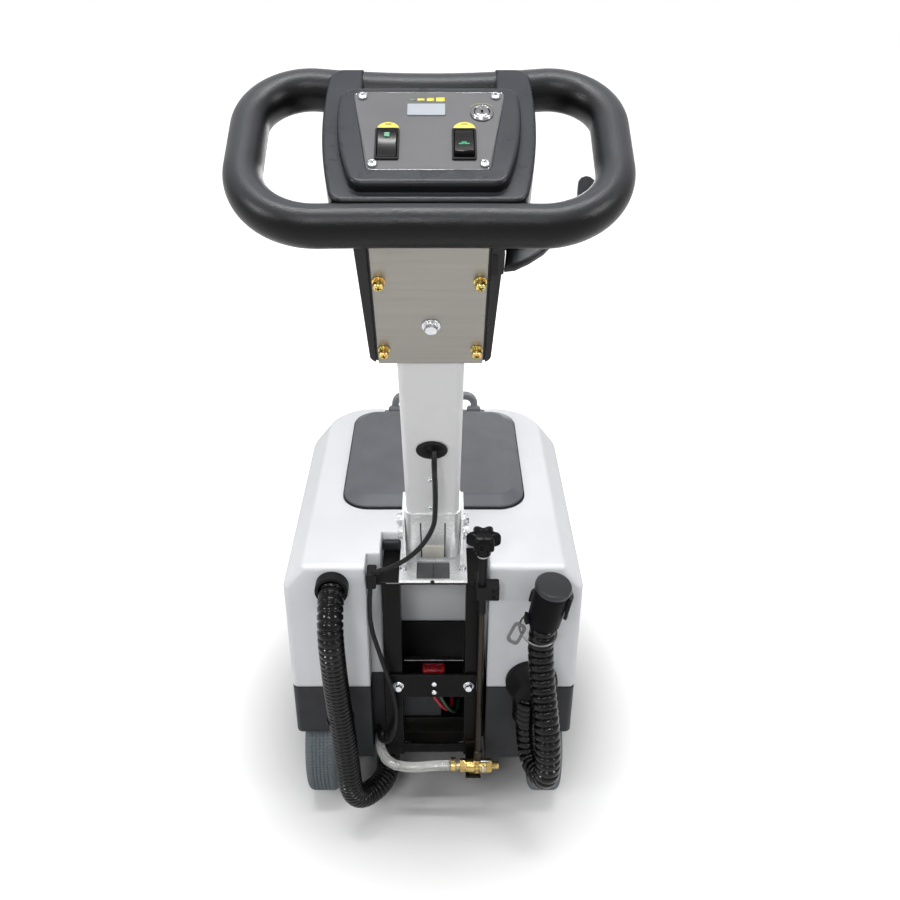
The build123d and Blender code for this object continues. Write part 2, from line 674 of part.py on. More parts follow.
# Carry handle bowed over the front edge of the hood
bow_half = 74.0
bow_y = FRONT_Y - TOP_INSET / 2
bow_foot = HOOD_TOP - (HOOD_TOP - BELT) / 2
bow_top = HOOD_TOP + 19
bow = cord_path(
    "carry handle",
    [
        (-bow_half, bow_y, bow_foot),
        (-bow_half, bow_y, bow_top),
        (bow_half, bow_y, bow_top),
        (bow_half, bow_y, bow_foot),
    ],
)
with BuildPart() as carry_handle:
    with BuildSketch(Plane(origin=bow @ 0, x_dir=(1, 0, 0), z_dir=bow % 0)) as bar:
        RectangleRounded(13, 16, 4)
    sweep(sections=bar.sketch, path=bow)
    for side in (-1, 1):
        block(
            mirrored(side, bow_half - 11, bow_half + 11),
            (bow_y - 8, FRONT_Y - 3),
            (BELT + 2, HOOD_TOP - 8),
        )
    add(tank_hood.part, mode=Mode.SUBTRACT)
    add(hood_room.part, mode=Mode.SUBTRACT)
save(carry_handle, "carry_handle")

# Wheels, each a grey tyre on a hub running on the stub axle
for side, name in ((-1, "left"), (1, "right")):
    x = mirrored(side, wheel_in, wheel_out)
    with BuildPart() as tyre:
        shaft(x, wheel_y, WHEEL_R, WHEEL_R)
        fillet(tyre.edges(), 10)
        shaft((x[0] - 1, x[1] + 1), wheel_y, WHEEL_R, HUB_R, Mode.SUBTRACT)
    save(tyre, f"{name}_tyre")
    with BuildPart() as hub:
        shaft((x[0] + 3, x[1] - 3), wheel_y, WHEEL_R, HUB_R)
        for face in ((x[0] + 2, x[0] + 14), (x[1] - 14, x[1] - 2)):
            shaft(face, wheel_y, WHEEL_R, HUB_R - 7, Mode.SUBTRACT)
        shaft(x, wheel_y, WHEEL_R, 16)
        shaft((x[0] - 1, x[1] + 1), wheel_y, WHEEL_R, AXLE_R + RUNNING, Mode.SUBTRACT)
    save(hub, f"{name}_hub")

# Squeegee: a curved frame on two lift rods, its suction spigot and two blades
spigot_y = brush_y - math.sqrt(SQUEEGEE_R**2 - SUCTION_TAIL_X**2)
squeegee_top = SQUEEGEE_Z + SQUEEGEE_HIGH
spigot_top = squeegee_top + 28


def curved_strip(z, middle, half_wide):
    """A strip curved round the back of the brush at one height."""
    with BuildLine(mode=Mode.PRIVATE) as bend:
        CenterArc((0, brush_y), middle, 270 - SQUEEGEE_SPAN, 2 * SQUEEGEE_SPAN)
    with BuildSketch(Plane.XY.offset(z)) as strip:
        SlotArc(bend.edges()[0], 2 * half_wide)
    return strip.sketch


with BuildPart() as squeegee_frame:
    extrude(curved_strip(SQUEEGEE_Z, SQUEEGEE_R, SQUEEGEE_HALF_WIDE), amount=squeegee_top - SQUEEGEE_Z)
    post(SUCTION_TAIL_X, spigot_y, (squeegee_top, spigot_top), 17)
    post(SUCTION_TAIL_X, spigot_y, (SQUEEGEE_Z + 4, spigot_top + 1), 14.5, Mode.SUBTRACT)
    block(
        (SUCTION_TAIL_X - 12, SUCTION_TAIL_X + 12),
        (spigot_y - 4, spigot_y + 4),
        (SQUEEGEE_Z - 1, SQUEEGEE_Z + 5),
        Mode.SUBTRACT,
    )
    for side in (-1, 1):
        post(side * lift_rod_x, lift_rod_y, (squeegee_top - 4, lift_rod_top), 5)
save(squeegee_frame, "squeegee_frame")

with BuildPart() as squeegee_blades:
    for reach in (-7, 7):
        extrude(curved_strip(1, SQUEEGEE_R + reach, 1.5), amount=SQUEEGEE_Z - 1)
save(squeegee_blades, "squeegee_blades")

# Hose paths, from fitting to fitting
suction_path = cord_path(
    "suction hose",
    [
        (SUCTION_X, BACK_Y + 18, SUCTION_Z),
        (SUCTION_X, BACK_Y - 64, SUCTION_Z),
        (SUCTION_X + 3, BACK_Y - 62, 330),
        (SUCTION_X + 12, BACK_Y - 62, 205),
        (SUCTION_X + 17, BACK_Y - 66, 80),
        (SUCTION_TAIL_X, BACK_Y - 14, 74),
        (SUCTION_TAIL_X, BACK_Y + 34, ELBOW_Z),
        (SUCTION_TAIL_X, BACK_Y + 86, ELBOW_Z),
    ],
)
cuff_bottom = Vector(158, BACK_Y - 40, 432)
cuff_axis = Vector(0.132, -0.135, 0.98).normalized()
CUFF = Plane(origin=cuff_bottom, x_dir=(1, 0, 0), z_dir=cuff_axis)
drain_in = Vector(145, BACK_Y - 23, DRAIN_Z - 6)
hose_end = cuff_bottom + cuff_axis * 30
drain_path = cord_path(
    "drain hose",
    [
        tuple(drain_in),
        (145, BACK_Y - 23, 158),
        (172, BACK_Y - 100, 158),
        (170, BACK_Y - 95, 252),
        (158, BACK_Y - 56, 345),
        tuple(cuff_bottom - cuff_axis * 25),
        tuple(hose_end),
    ],
)

# Fittings: suction collar, suction elbow, drain boss and the tank's outlet
elbow_in = BACK_Y + 62
elbow_r = HOSE_R + SEAT_GAP + 2.2
lifted_top = squeegee_top + LIFT + LIFT_CLEAR
outlet_x = -89.0
outlet_y = BACK_Y + SLOT_STEP
outlet_z = 135.0
outlet_flange = 3.0
with BuildPart() as hose_fittings:
    stud(SUCTION_X, (BACK_Y - 17, BACK_Y), SUCTION_Z, 24)
    stud(SUCTION_X, (BACK_Y - 18, BACK_Y + 1), SUCTION_Z, HOSE_R + SEAT_GAP, Mode.SUBTRACT)
    stud(SUCTION_TAIL_X, (elbow_in, spigot_y), ELBOW_Z, elbow_r)
    post(SUCTION_TAIL_X, spigot_y, (lifted_top, ELBOW_Z + 26), 24)
    block(
        (SUCTION_TAIL_X - 8, SUCTION_TAIL_X + 8),
        (spigot_y - 30, spigot_y + 8),
        (ELBOW_Z + 10, chassis_bottom),
    )
    stud(SUCTION_TAIL_X, (elbow_in - 1, BACK_Y + 86), ELBOW_Z, HOSE_R + SEAT_GAP, Mode.SUBTRACT)
    stud(SUCTION_TAIL_X, (BACK_Y + 85, spigot_y), ELBOW_Z, HOSE_BORE, Mode.SUBTRACT)
    post(
        SUCTION_TAIL_X,
        spigot_y,
        (lifted_top - 1, spigot_top + LIFT + 4),
        17 + SEAT_GAP,
        Mode.SUBTRACT,
    )
    with BuildSketch(REAR):
        with Locations((DRAIN_X, DRAIN_Z)):
            Circle(40)
    extrude(amount=8)
    with BuildSketch(REAR.offset(8)):
        with Locations((DRAIN_X, DRAIN_Z)):
            Circle(40)
    with BuildSketch(REAR.offset(38)):
        with Locations((DRAIN_X, DRAIN_Z)):
            Circle(27)
    loft(ruled=True)
    post(drain_in.X, drain_in.Y, (DRAIN_Z - 52, DRAIN_Z - 10), 22)
    post(drain_in.X, drain_in.Y, (DRAIN_Z - 53, DRAIN_Z - 6), HOSE_R + SEAT_GAP, Mode.SUBTRACT)
    stud(outlet_x, (outlet_y - outlet_flange, outlet_y), outlet_z, CLEAR_R + 0.8)
    stud(outlet_x, (outlet_y - 16, outlet_y), outlet_z, CLEAR_R - 2.2)
save(hose_fittings, "hose_fittings")

with BuildPart() as suction_hose:
    ribbed_hose(suction_path, 9.6)
save(suction_hose, "suction_hose")

with BuildPart() as drain_hose:
    ribbed_hose(drain_path, 11.5)
save(drain_hose, "drain_hose")

# Drain cuff, its plug and the wire ring on the hose below it
cuff_long = 66.0
with BuildPart() as hose_cuff:
    with BuildSketch(CUFF):
        Circle(25)
    extrude(amount=cuff_long)
    with BuildSketch(CUFF.offset(-1)):
        Circle(HOSE_R + SEAT_GAP)
    extrude(amount=31, mode=Mode.SUBTRACT)
    with BuildSketch(CUFF.offset(29)):
        Circle(HOSE_BORE)
    extrude(amount=20, mode=Mode.SUBTRACT)
    with BuildSketch(CUFF.offset(40)):
        Circle(20)
    extrude(amount=cuff_long, mode=Mode.SUBTRACT)
save(hose_cuff, "hose_cuff")

with BuildPart() as drain_plug:
    with BuildSketch(CUFF.offset(cuff_long + SEAT_GAP)):
        Circle(26)
    extrude(amount=9)
    fillet(drain_plug.edges(), 3.5)
    with BuildSketch(CUFF.offset(cuff_long - 20)):
        Circle(20 - SEAT_GAP)
    extrude(amount=24)
save(drain_plug, "drain_plug")

ring_at = CUFF.offset(-14)
with BuildPart() as hose_ring:
    with Locations(ring_at):
        Torus(HOSE_R + 2, 1.6)
        with Locations((-HOSE_R - 13, 0, 0)):
            Torus(10.5, 1.6)
save(hose_ring, "hose_ring")

# Holders: the clip round the suction hose and the cradle behind the cuff
clip_z = 256.0
clip_at = [suction_path @ (i / 400) for i in range(401)]
clip_point = min(clip_at, key=lambda point: abs(point.Z - clip_z) + (0 if point.Y < BACK_Y - 40 else 1000))
cradle = CUFF.offset(cuff_long / 2 - 14)
with BuildPart() as hose_holders:
    post(clip_point.X, clip_point.Y, (clip_z - 6, clip_z + 6), HOSE_R + 3.5)
    block(
        (clip_point.X - 5, clip_point.X + 5),
        (clip_point.Y, BACK_Y),
        (clip_z - 6, clip_z + 6),
    )
    post(clip_point.X, clip_point.Y, (clip_z - 7, clip_z + 7), HOSE_R + 0.7, Mode.SUBTRACT)
    block((cradle.origin.X - 22, cradle.origin.X + 26), (BACK_Y - 28, BACK_Y), (432, 474))
    with BuildSketch(CUFF.offset(-40)):
        Circle(25 + SEAT_GAP)
    extrude(amount=cuff_long + 80, mode=Mode.SUBTRACT)
save(hose_holders, "hose_holders")

# Brass valve on its shelf, with the stem under the rod
with BuildPart() as valve_body:
    shaft((ROD_X - 20, ROD_X + 14), rod_y, VALVE_Z, 11.5)
    with BuildSketch(Plane.YZ.offset(ROD_X - 28)):
        with Locations((rod_y, VALVE_Z)):
            RegularPolygon(11, 6)
    extrude(amount=9)
    with BuildSketch(Plane.YZ.offset(ROD_X + 13)):
        with Locations((rod_y, VALVE_Z)):
            RegularPolygon(11.5, 6)
    extrude(amount=10)
    shaft((ROD_X - 46, ROD_X - 27), rod_y, VALVE_Z, CLEAR_R - 2.2)
    shaft((ROD_X + 20, ROD_X + 34), rod_y, VALVE_Z, 6)
    block((ROD_X - 16, ROD_X + 5), (rod_y - 9, rod_y + 9), (valve_shelf, VALVE_Z))
    post(ROD_X, rod_y, (VALVE_Z, VALVE_Z + 15), 7)
    post(ROD_X, rod_y, (VALVE_Z, VALVE_Z + 22), 4)
    shaft((ROD_X - 43, ROD_X - 35), rod_y, VALVE_Z, CLEAR_R + 2)
    shaft((ROD_X - 43, ROD_X - 35), rod_y, VALVE_Z, CLEAR_R + 0.1, Mode.SUBTRACT)
    block((ROD_X - 43, ROD_X - 35), (rod_y - 4, rod_y + 4), (VALVE_Z + CLEAR_R + 1, VALVE_Z + CLEAR_R + 7))
    shaft((ROD_X - 46, ROD_X - 27), rod_y, VALVE_Z, CLEAR_R - 2.2)
save(valve_body, "valve_body")

with BuildPart() as valve_rod:
    post(ROD_X, rod_y, (VALVE_Z + 15 + SEAT_GAP, VALVE_Z + 34), 7)
    post(ROD_X, rod_y, (VALVE_Z + 30, KNOB_Z + 12), ROD_R)
    post(ROD_X, rod_y, (FRAME_TOP - 36, KNOB_Z - 20), 6)
    post(ROD_X, rod_y, (KNOB_Z - 20, KNOB_Z - 16), 8)
    post(ROD_X, rod_y, (VALVE_Z + 15, VALVE_Z + 24), 4 + RUNNING, Mode.SUBTRACT)
save(valve_rod, "valve_rod")

with BuildPart() as valve_knob:
    with BuildSketch(Plane.XY.offset(KNOB_Z)):
        with Locations((ROD_X, rod_y)):
            Circle(KNOB_R - 6)
            with PolarLocations(KNOB_R - 6, 6):
                Circle(6)
    extrude(amount=18)
    fillet(valve_knob.edges().group_by(Axis.Z)[-1], 3)
    post(ROD_X, rod_y, (KNOB_Z - 16, KNOB_Z), 11)
    post(ROD_X, rod_y, (KNOB_Z - 17, KNOB_Z + 12.2), ROD_R + 0.1, Mode.SUBTRACT)
save(valve_knob, "valve_knob")

guide_z = (FRAME_TOP - 6, FRAME_TOP + 16)
with BuildPart() as rod_guide:
    block((ROD_X - 9, ROD_X + 24), (rod_y - 10, rod_y + 12), guide_z)
    fillet(rod_guide.edges().filter_by(Axis.Z), 3)
    block((ROD_X - 9, RAIL_OUT), (rod_y + 6, BACK_Y + 12), (FRAME_TOP, FRAME_TOP + 8))
    post(ROD_X, rod_y, (guide_z[0] - 1, guide_z[1] + 1), 6 + RUNNING, Mode.SUBTRACT)
save(rod_guide, "rod_guide")

# Clear water hose from the tank's outlet to the valve
clear_path = cord_path(
    "clear hose",
    [
        (ROD_X - 29, rod_y, VALVE_Z),
        (ROD_X - 68, rod_y, VALVE_Z),
        (-34, BACK_Y - 25, 115),
        (-72, BACK_Y - 22, 121),
        (outlet_x, BACK_Y + 2, outlet_z),
        (outlet_x, outlet_y - outlet_flange, outlet_z),
    ],
)
with BuildPart() as clear_hose:
    round_cord(clear_path, CLEAR_R)
    round_cord(clear_path, CLEAR_R - 2, Mode.SUBTRACT)
save(clear_hose, "clear_hose")

# Control cable: out of the column's grommet, through the clip and down the left rail
clip_x = -RAIL_OUT - 12
clip_y = BACK_Y - 9
cable_out = on_column(3, -TUBE_DEEP / 2 - 1, GROMMET_UP - 3)
cable_path = cord_path(
    "control cable",
    [
        tuple(cable_out),
        tuple(on_column(3, -TUBE_DEEP / 2 - 24, GROMMET_UP - 12)),
        tuple(on_column(4, -TUBE_DEEP / 2 - 16, GROMMET_UP - 62)),
        tuple(on_column(4, -TUBE_DEEP / 2 - 14, GROMMET_UP - 122)),
        tuple(on_column(2, -TUBE_DEEP / 2 - 18, GROMMET_UP - 176)),
        (-22, BACK_Y - 20, 538),
        (-58, BACK_Y - 16, 508),
        (clip_x, clip_y, 496),
        (clip_x - 5, clip_y - 4, 455),
        (clip_x - 6, BACK_Y - 16, 405),
        (clip_x + 8, BACK_Y - 17, 345),
        (-61, BACK_Y - 18, 272),
        (-56, BACK_Y - 17, 212),
        (-70, BACK_Y - 15, 160),
        (-90, BACK_Y + 2, 150),
        (-90, BACK_Y + SLOT_STEP, 150),
    ],
)
with BuildPart() as control_cable:
    round_cord(cable_path, CABLE_R)
save(control_cable, "control_cable")

clip_spot = min(
    (cable_path @ (i / 800) for i in range(801)),
    key=lambda point: abs(point.X - clip_x) + abs(point.Z - 484),
)
with BuildPart() as cable_clip:
    block((clip_spot.X - 7, clip_spot.X + 7), (clip_spot.Y - 6, BACK_Y + 10), (FRAME_TOP, FRAME_TOP + 24))
    fillet(cable_clip.edges().filter_by(Axis.Y), 3)
    round_cord(cable_path, CABLE_R + SEAT_GAP, Mode.SUBTRACT)
save(cable_clip, "cable_clip")

# Handle column: painted tube in a zinc foot
with BuildPart() as column_tube:
    with BuildSketch(COLUMN.offset(-TUBE_BELOW)):
        RectangleRounded(TUBE_WIDE, TUBE_DEEP, 8)
        bore = (TUBE_WIDE - 2 * TUBE_WALL, TUBE_DEEP - 2 * TUBE_WALL)
        RectangleRounded(*bore, 8 - TUBE_WALL, mode=Mode.SUBTRACT)
    extrude(amount=TUBE_BELOW + HEAD_TOP - 8)
    with BuildSketch(COLUMN_BACK.offset(1)):
        with Locations((0, GROMMET_UP)):
            Circle(GROMMET_R)
    extrude(amount=-TUBE_WALL - 2, mode=Mode.SUBTRACT)
    lock = on_column(0, 0, LOCK_REACH)
    shaft((-60, 60), PIVOT_Y, PIVOT_Z, PIVOT_R + 0.1, Mode.SUBTRACT)
    shaft((-60, 60), lock.Y, lock.Z, 4.1, Mode.SUBTRACT)
save(column_tube, "column_tube")

with BuildPart() as column_foot:
    with BuildSketch(COLUMN.offset(-TUBE_BELOW)):
        RectangleRounded(TUBE_WIDE + 2 * FOOT_T, TUBE_DEEP + 2 * FOOT_T, 8 + FOOT_T)
        RectangleRounded(TUBE_WIDE + 0.1, TUBE_DEEP + 0.1, 8, mode=Mode.SUBTRACT)
    extrude(amount=TUBE_BELOW + FOOT_TOP)
    with BuildSketch(COLUMN_BACK.offset(FOOT_T + 1)):
        with Locations((-FOOT_SLIT, SLIT_TOP), (FOOT_SLIT, SLIT_TOP)):
            Rectangle(1.8, SLIT_TOP + TUBE_BELOW + 1, align=(Align.CENTER, Align.MAX))
        for side in (-1, 1):
            with Locations((side * FOOT_SLIT, FOOT_TOP)):
                Polygon((side * 11, 1), (side * 11, -11), (0, -7), align=None)
    extrude(amount=-FOOT_T - 1, mode=Mode.SUBTRACT)
    shaft((-60, 60), PIVOT_Y, PIVOT_Z, PIVOT_R + 0.1, Mode.SUBTRACT)
    shaft((-60, 60), lock.Y, lock.Z, 4.1, Mode.SUBTRACT)
save(column_foot, "column_foot")

with BuildPart() as grommet:
    with BuildSketch(COLUMN_BACK):
        with Locations((0, GROMMET_UP)):
            Circle(GROMMET_R + 2.5)
    extrude(amount=2)
    with BuildSketch(COLUMN_BACK):
        with Locations((0, GROMMET_UP)):
            Circle(GROMMET_R - 0.1)
    extrude(amount=-TUBE_WALL - 1)
    with BuildSketch(COLUMN_BACK.offset(3)):
        with Locations((3, GROMMET_UP - 4)):
            Circle(CABLE_R + 3)
    extrude(amount=-TUBE_WALL - 5, mode=Mode.SUBTRACT)
save(grommet, "grommet")


def head_face(back, low_half, high_half, low):
    """One end of the drafted head housing, as seen from the operator."""
    with BuildSketch(COLUMN_BACK.offset(-TUBE_DEEP / 2 - back)) as face:
        Polygon(
            (-low_half, low), (low_half, low), (high_half, HEAD_TOP), (-high_half, HEAD_TOP), align=None
        )
    return face.sketch


with BuildPart() as head_housing:
    near_face = head_face(HEAD_BACK, 63, 68.5, HEAD_BOTTOM)
    loft([near_face, head_face(HEAD_FRONT, 70, 76, HEAD_BOTTOM - 6)], ruled=True)
    corner_edges = head_housing.edges().filter_by(
        lambda edge: abs((edge % 0.5).dot(COLUMN.y_dir)) > 0.9
        and COLUMN.to_local_coords(edge @ 0.5).Z < HEAD_BOTTOM + 10
    )
    fillet(corner_edges, 12)
    with BuildSketch(COLUMN_BACK.offset(-HEAD_BACK - TUBE_DEEP / 2)):
        with Locations((0, (PLATE_BOTTOM + HEAD_TOP) / 2)):
            Rectangle(PLATE_WIDE + 5, HEAD_TOP - PLATE_BOTTOM + 2)
    extrude(amount=HEAD_BACK + TUBE_DEEP / 2, mode=Mode.SUBTRACT)
    with BuildSketch(COLUMN.offset(HEAD_BOTTOM - 20)):
        RectangleRounded(TUBE_WIDE + 0.4, TUBE_DEEP + 0.4, 8)
    extrude(amount=HEAD_TOP - HEAD_BOTTOM + 12.5, mode=Mode.SUBTRACT)
    pin = on_column(0, LEVER_FORWARD, LEVER_UP)
    shaft((50, 90), pin.Y, pin.Z, LEVER_PIN_R + 0.1, Mode.SUBTRACT)
save(head_housing, "head_housing")

plate_screw_places = [(-48, 461), (48, 461), (-48, 566), (48, 566)]
with BuildPart() as head_plate:
    with BuildSketch(COLUMN_BACK):
        with Locations((0, (PLATE_BOTTOM + HEAD_TOP) / 2)):
            Rectangle(PLATE_WIDE, HEAD_TOP - PLATE_BOTTOM - 2)
        with Locations(*plate_screw_places):
            Circle(PLATE_SCREW_R / 2 + 0.1, mode=Mode.SUBTRACT)
    extrude(amount=2)
save(head_plate, "head_plate")


def handle_loop(grow):
    """The closed handle ring, its section grown by a clearance."""
    far = RING_NEAR + RING_LONG
    with BuildLine(COLUMN.offset(RING_UP)) as loop:
        ThreePointArc((-RING_HALF, RING_NEAR), (0, RING_NEAR + NEAR_BOW), (RING_HALF, RING_NEAR))
        Line((RING_HALF, RING_NEAR), (RING_HALF, far))
        ThreePointArc((RING_HALF, far), (0, far - FAR_BOW), (-RING_HALF, far))
        Line((-RING_HALF, far), (-RING_HALF, RING_NEAR))
        fillet(loop.vertices().sort_by(forward_axis)[-2:], FAR_CORNER)
        fillet(loop.vertices().sort_by(forward_axis)[:2], NEAR_CORNER)
    wire = loop.wires()[0]
    with BuildSketch(Plane(origin=wire @ 0, x_dir=COLUMN.z_dir, z_dir=wire % 0)) as section:
        Ellipse(RING_TALL_R + grow, RING_FLAT_R + grow)
    sweep(sections=section.sketch, path=wire)


with BuildPart() as handle_ring:
    handle_loop(0)
save(handle_ring, "handle_ring")

with BuildPart() as ring_room:
    handle_loop(FIT)

# Console between the two sides of the ring
panel_near = 11.0
panel_far = 113.5
panel_half = (54.0, 69.5)
bezel_top = PANEL_TOP + 0.5
notch_near = panel_far + 14
panel_floor = PANEL_TOP - PANEL_T


def taper_outline(z, near, far, near_half, far_half, corner, bulge=0.0):
    """An outline across the column, wider at its far side, whose sides may bulge."""
    middle = (near_half + far_half) / 2 + bulge
    with BuildSketch(COLUMN.offset(z)) as outline:
        with BuildLine():
            Line((-near_half, near), (near_half, near))
            Line((far_half, far), (-far_half, far))
            for side in (-1, 1):
                ends = ((side * near_half, near), (side * far_half, far))
                if bulge:
                    ThreePointArc(ends[0], (side * middle, (near + far) / 2), ends[1])
                else:
                    Line(*ends)
        make_face()
        fillet(outline.vertices(), corner)
    return outline.sketch


with BuildPart() as console_housing:
    extrude(taper_outline(HEAD_TOP, -14, 163, 85.5, 94, 14, 8.2), amount=COLLAR_TOP - HEAD_TOP)
    with BuildSketch(COLUMN.offset(RING_UP)):
        with Locations((0, notch_near)):
            RectangleRounded(2 * ARM_IN, 100, 6, align=(Align.CENTER, Align.MIN))
    extrude(amount=COLLAR_TOP - HEAD_TOP, mode=Mode.SUBTRACT)
    fillet(console_housing.faces().sort_by(column_axis)[-1].edges(), 3.5)
    extrude(taper_outline(HEAD_TOP + 38, -5, 121, 67, 81, 14, 8), amount=bezel_top - HEAD_TOP - 38)
    fillet(console_housing.faces().sort_by(column_axis)[-1].edges(), 4)
    add(ring_room.part, mode=Mode.SUBTRACT)
    recess_half = [half + SEAT_GAP for half in panel_half]
    recess = taper_outline(panel_floor, panel_near, panel_far, *recess_half, 5)
    extrude(recess, amount=PANEL_T + 2, mode=Mode.SUBTRACT)
    room_half = (panel_half[0] - 4, panel_half[1] - 6)
    room = taper_outline(HEAD_TOP + 8, panel_near + 6, panel_far - 6, *room_half, 5)
    extrude(room, amount=panel_floor - HEAD_TOP, mode=Mode.SUBTRACT)
save(console_housing, "console_housing")

# Control panel with its switch openings, display, key lock and switch frames
rocker_places = [(-37, 43.5), (31.4, 43)]
rocker_wide = 17.0
rocker_long = 32.6
rocker_pivot = PANEL_TOP - 4
lug_t = 3.0
lug_reach = rocker_wide / 2 + 0.7
lug_places = [
    (x + side * (lug_reach + lug_t / 2), y) for x, y in rocker_places for side in (-1, 1)
]
key_place = (48, 84)
display_place = (-2.5, 89)
panel_screw_places = [(-61, 107), (61, 107), (-49, 18), (49, 18)]
with BuildPart() as control_panel:
    sheet = taper_outline(panel_floor, panel_near + SEAT_GAP, panel_far - SEAT_GAP, *panel_half, 5)
    extrude(sheet, amount=PANEL_T)
    with BuildSketch(COLUMN.offset(rocker_pivot - TRUNNION_R - 2)):
        with Locations(*lug_places):
            Rectangle(lug_t, 9)
    extrude(amount=panel_floor - rocker_pivot + TRUNNION_R + 2)
    for place in rocker_places:
        pivot = on_column(*place, rocker_pivot)
        x = (place[0] - lug_reach - lug_t, place[0] + lug_reach + lug_t)
        shaft(x, pivot.Y, pivot.Z, TRUNNION_R + RUNNING, Mode.SUBTRACT)
    with BuildSketch(COLUMN.offset(panel_floor - 1)):
        with Locations(*rocker_places):
            Rectangle(rocker_wide + 1.4, rocker_long + 3.4)
        with Locations(key_place):
            Circle(7 + RUNNING)
        with Locations(*panel_screw_places):
            Circle(PANEL_SCREW_R / 2 + 0.1)
    extrude(amount=PANEL_T + 2, mode=Mode.SUBTRACT)
save(control_panel, "control_panel")

with BuildPart() as switch_frames:
    with BuildSketch(COLUMN.offset(PANEL_TOP)):
        with Locations(*rocker_places):
            RectangleRounded(rocker_wide + 4.6, rocker_long + 7, 2)
            Rectangle(rocker_wide + 1.4, rocker_long + 3.4, mode=Mode.SUBTRACT)
    extrude(amount=2)
save(switch_frames, "switch_frames")

with BuildPart() as display:
    with BuildSketch(COLUMN.offset(PANEL_TOP)):
        with Locations(display_place):
            RectangleRounded(34.5, 15.4, 1)
    extrude(amount=1.2)
save(display, "display")

with BuildPart() as key_lock:
    with BuildSketch(COLUMN.offset(PANEL_TOP)):
        with Locations(key_place):
            Circle(10.5)
    extrude(amount=4)
    fillet(key_lock.edges().sort_by(column_axis)[-1], 1.2)
    with BuildSketch(COLUMN.offset(PANEL_TOP - 1)):
        with Locations(key_place):
            Circle(7 + RUNNING)
    extrude(amount=6, mode=Mode.SUBTRACT)
save(key_lock, "key_lock")

with BuildPart() as key_cylinder:
    with BuildSketch(COLUMN.offset(panel_floor - 6)):
        with Locations(key_place):
            Circle(7)
    extrude(amount=PANEL_T + 9)
    with BuildSketch(COLUMN.offset(PANEL_TOP + 1)):
        with Locations(key_place):
            Rectangle(1.6, 9)
    extrude(amount=3, mode=Mode.SUBTRACT)
save(key_cylinder, "key_cylinder")

# Rockers, tipped one each way at rest
for name, place, tip in (("left_rocker", rocker_places[0], 9), ("right_rocker", rocker_places[1], -9)):
    tip_cos = math.cos(math.radians(tip))
    tip_sin = math.sin(math.radians(tip))
    swing = Plane(
        origin=on_column(place[0], place[1], rocker_pivot),
        x_dir=COLUMN.y_dir * tip_cos + COLUMN.z_dir * tip_sin,
        z_dir=(1, 0, 0),
    )
    half = rocker_long / 2
    with BuildPart() as rocker:
        with BuildSketch(swing.offset(-rocker_wide / 2)):
            Polygon(
                (-half, 1), (-9, -8), (9, -8), (half, 1), (half, 8.5), (0, 7), (-half, 8.5), align=None
            )
        extrude(amount=rocker_wide)
        x = (place[0] - lug_reach - lug_t, place[0] + lug_reach + lug_t)
        shaft(x, swing.origin.Y, swing.origin.Z, TRUNNION_R)
    save(rocker, name)

# Screws, bolts and pins that ride on the column
lever_boss = (73.5, 90.0)
with BuildPart() as column_screws:
    round_screws(COLUMN.offset(PANEL_TOP), panel_screw_places, PANEL_SCREW_R, 2.4, PANEL_T - 0.1)
    round_screws(COLUMN_BACK.offset(2), plate_screw_places, PLATE_SCREW_R, 8, 1.9)
    hex_bolts(COLUMN_BACK.offset(2), [(1, 500)], 6.5, 8, 8)
    round_screws(COLUMN_BACK, [(-3, 112), (-3, 187)], 3, 1.6)
    reach = cheek_in + CHEEK_T
    for at, radius in (((PIVOT_Y, PIVOT_Z), PIVOT_R), ((lock.Y, lock.Z), 4)):
        shaft((-reach - 7, reach + 7), at[0], at[1], radius)
        for side in (-1, 1):
            shaft(mirrored(side, reach + SEAT_GAP, reach + 7), at[0], at[1], radius + 4)
    shaft((51, lever_boss[1] - 2), pin.Y, pin.Z, LEVER_PIN_R)
save(column_screws, "column_screws")

# Lift lever: a paddle under the right of the ring, on a pin in the side of the head
with BuildPart() as lift_lever:
    with BuildSketch(COLUMN.offset(LEVER_UP - LEVER_T / 2)):
        Polygon(
            (70, -16.4),
            (80.4, -15.1),
            (94.9, -6.3),
            (108.8, 5.1),
            (132, 35),
            (152, 68),
            (164, 96.4),
            (159, 106),
            (148, 103),
            (134, 76),
            (116, 55),
            (96, 46),
            (77.4, 45),
            align=None,
        )
    extrude(amount=LEVER_T)
    fillet(lift_lever.faces().sort_by(column_axis)[0].edges(), 3)
    fillet(lift_lever.faces().sort_by(column_axis)[-1].edges(), 3)
    shaft(lever_boss, pin.Y, pin.Z, LEVER_BOSS_R)
    shaft((60, lever_boss[1] - 1), pin.Y, pin.Z, LEVER_PIN_R + RUNNING, Mode.SUBTRACT)
save(lift_lever, "lift_lever")
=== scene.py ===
import bpy
import json
import math
import random
from mathutils import Matrix, Vector


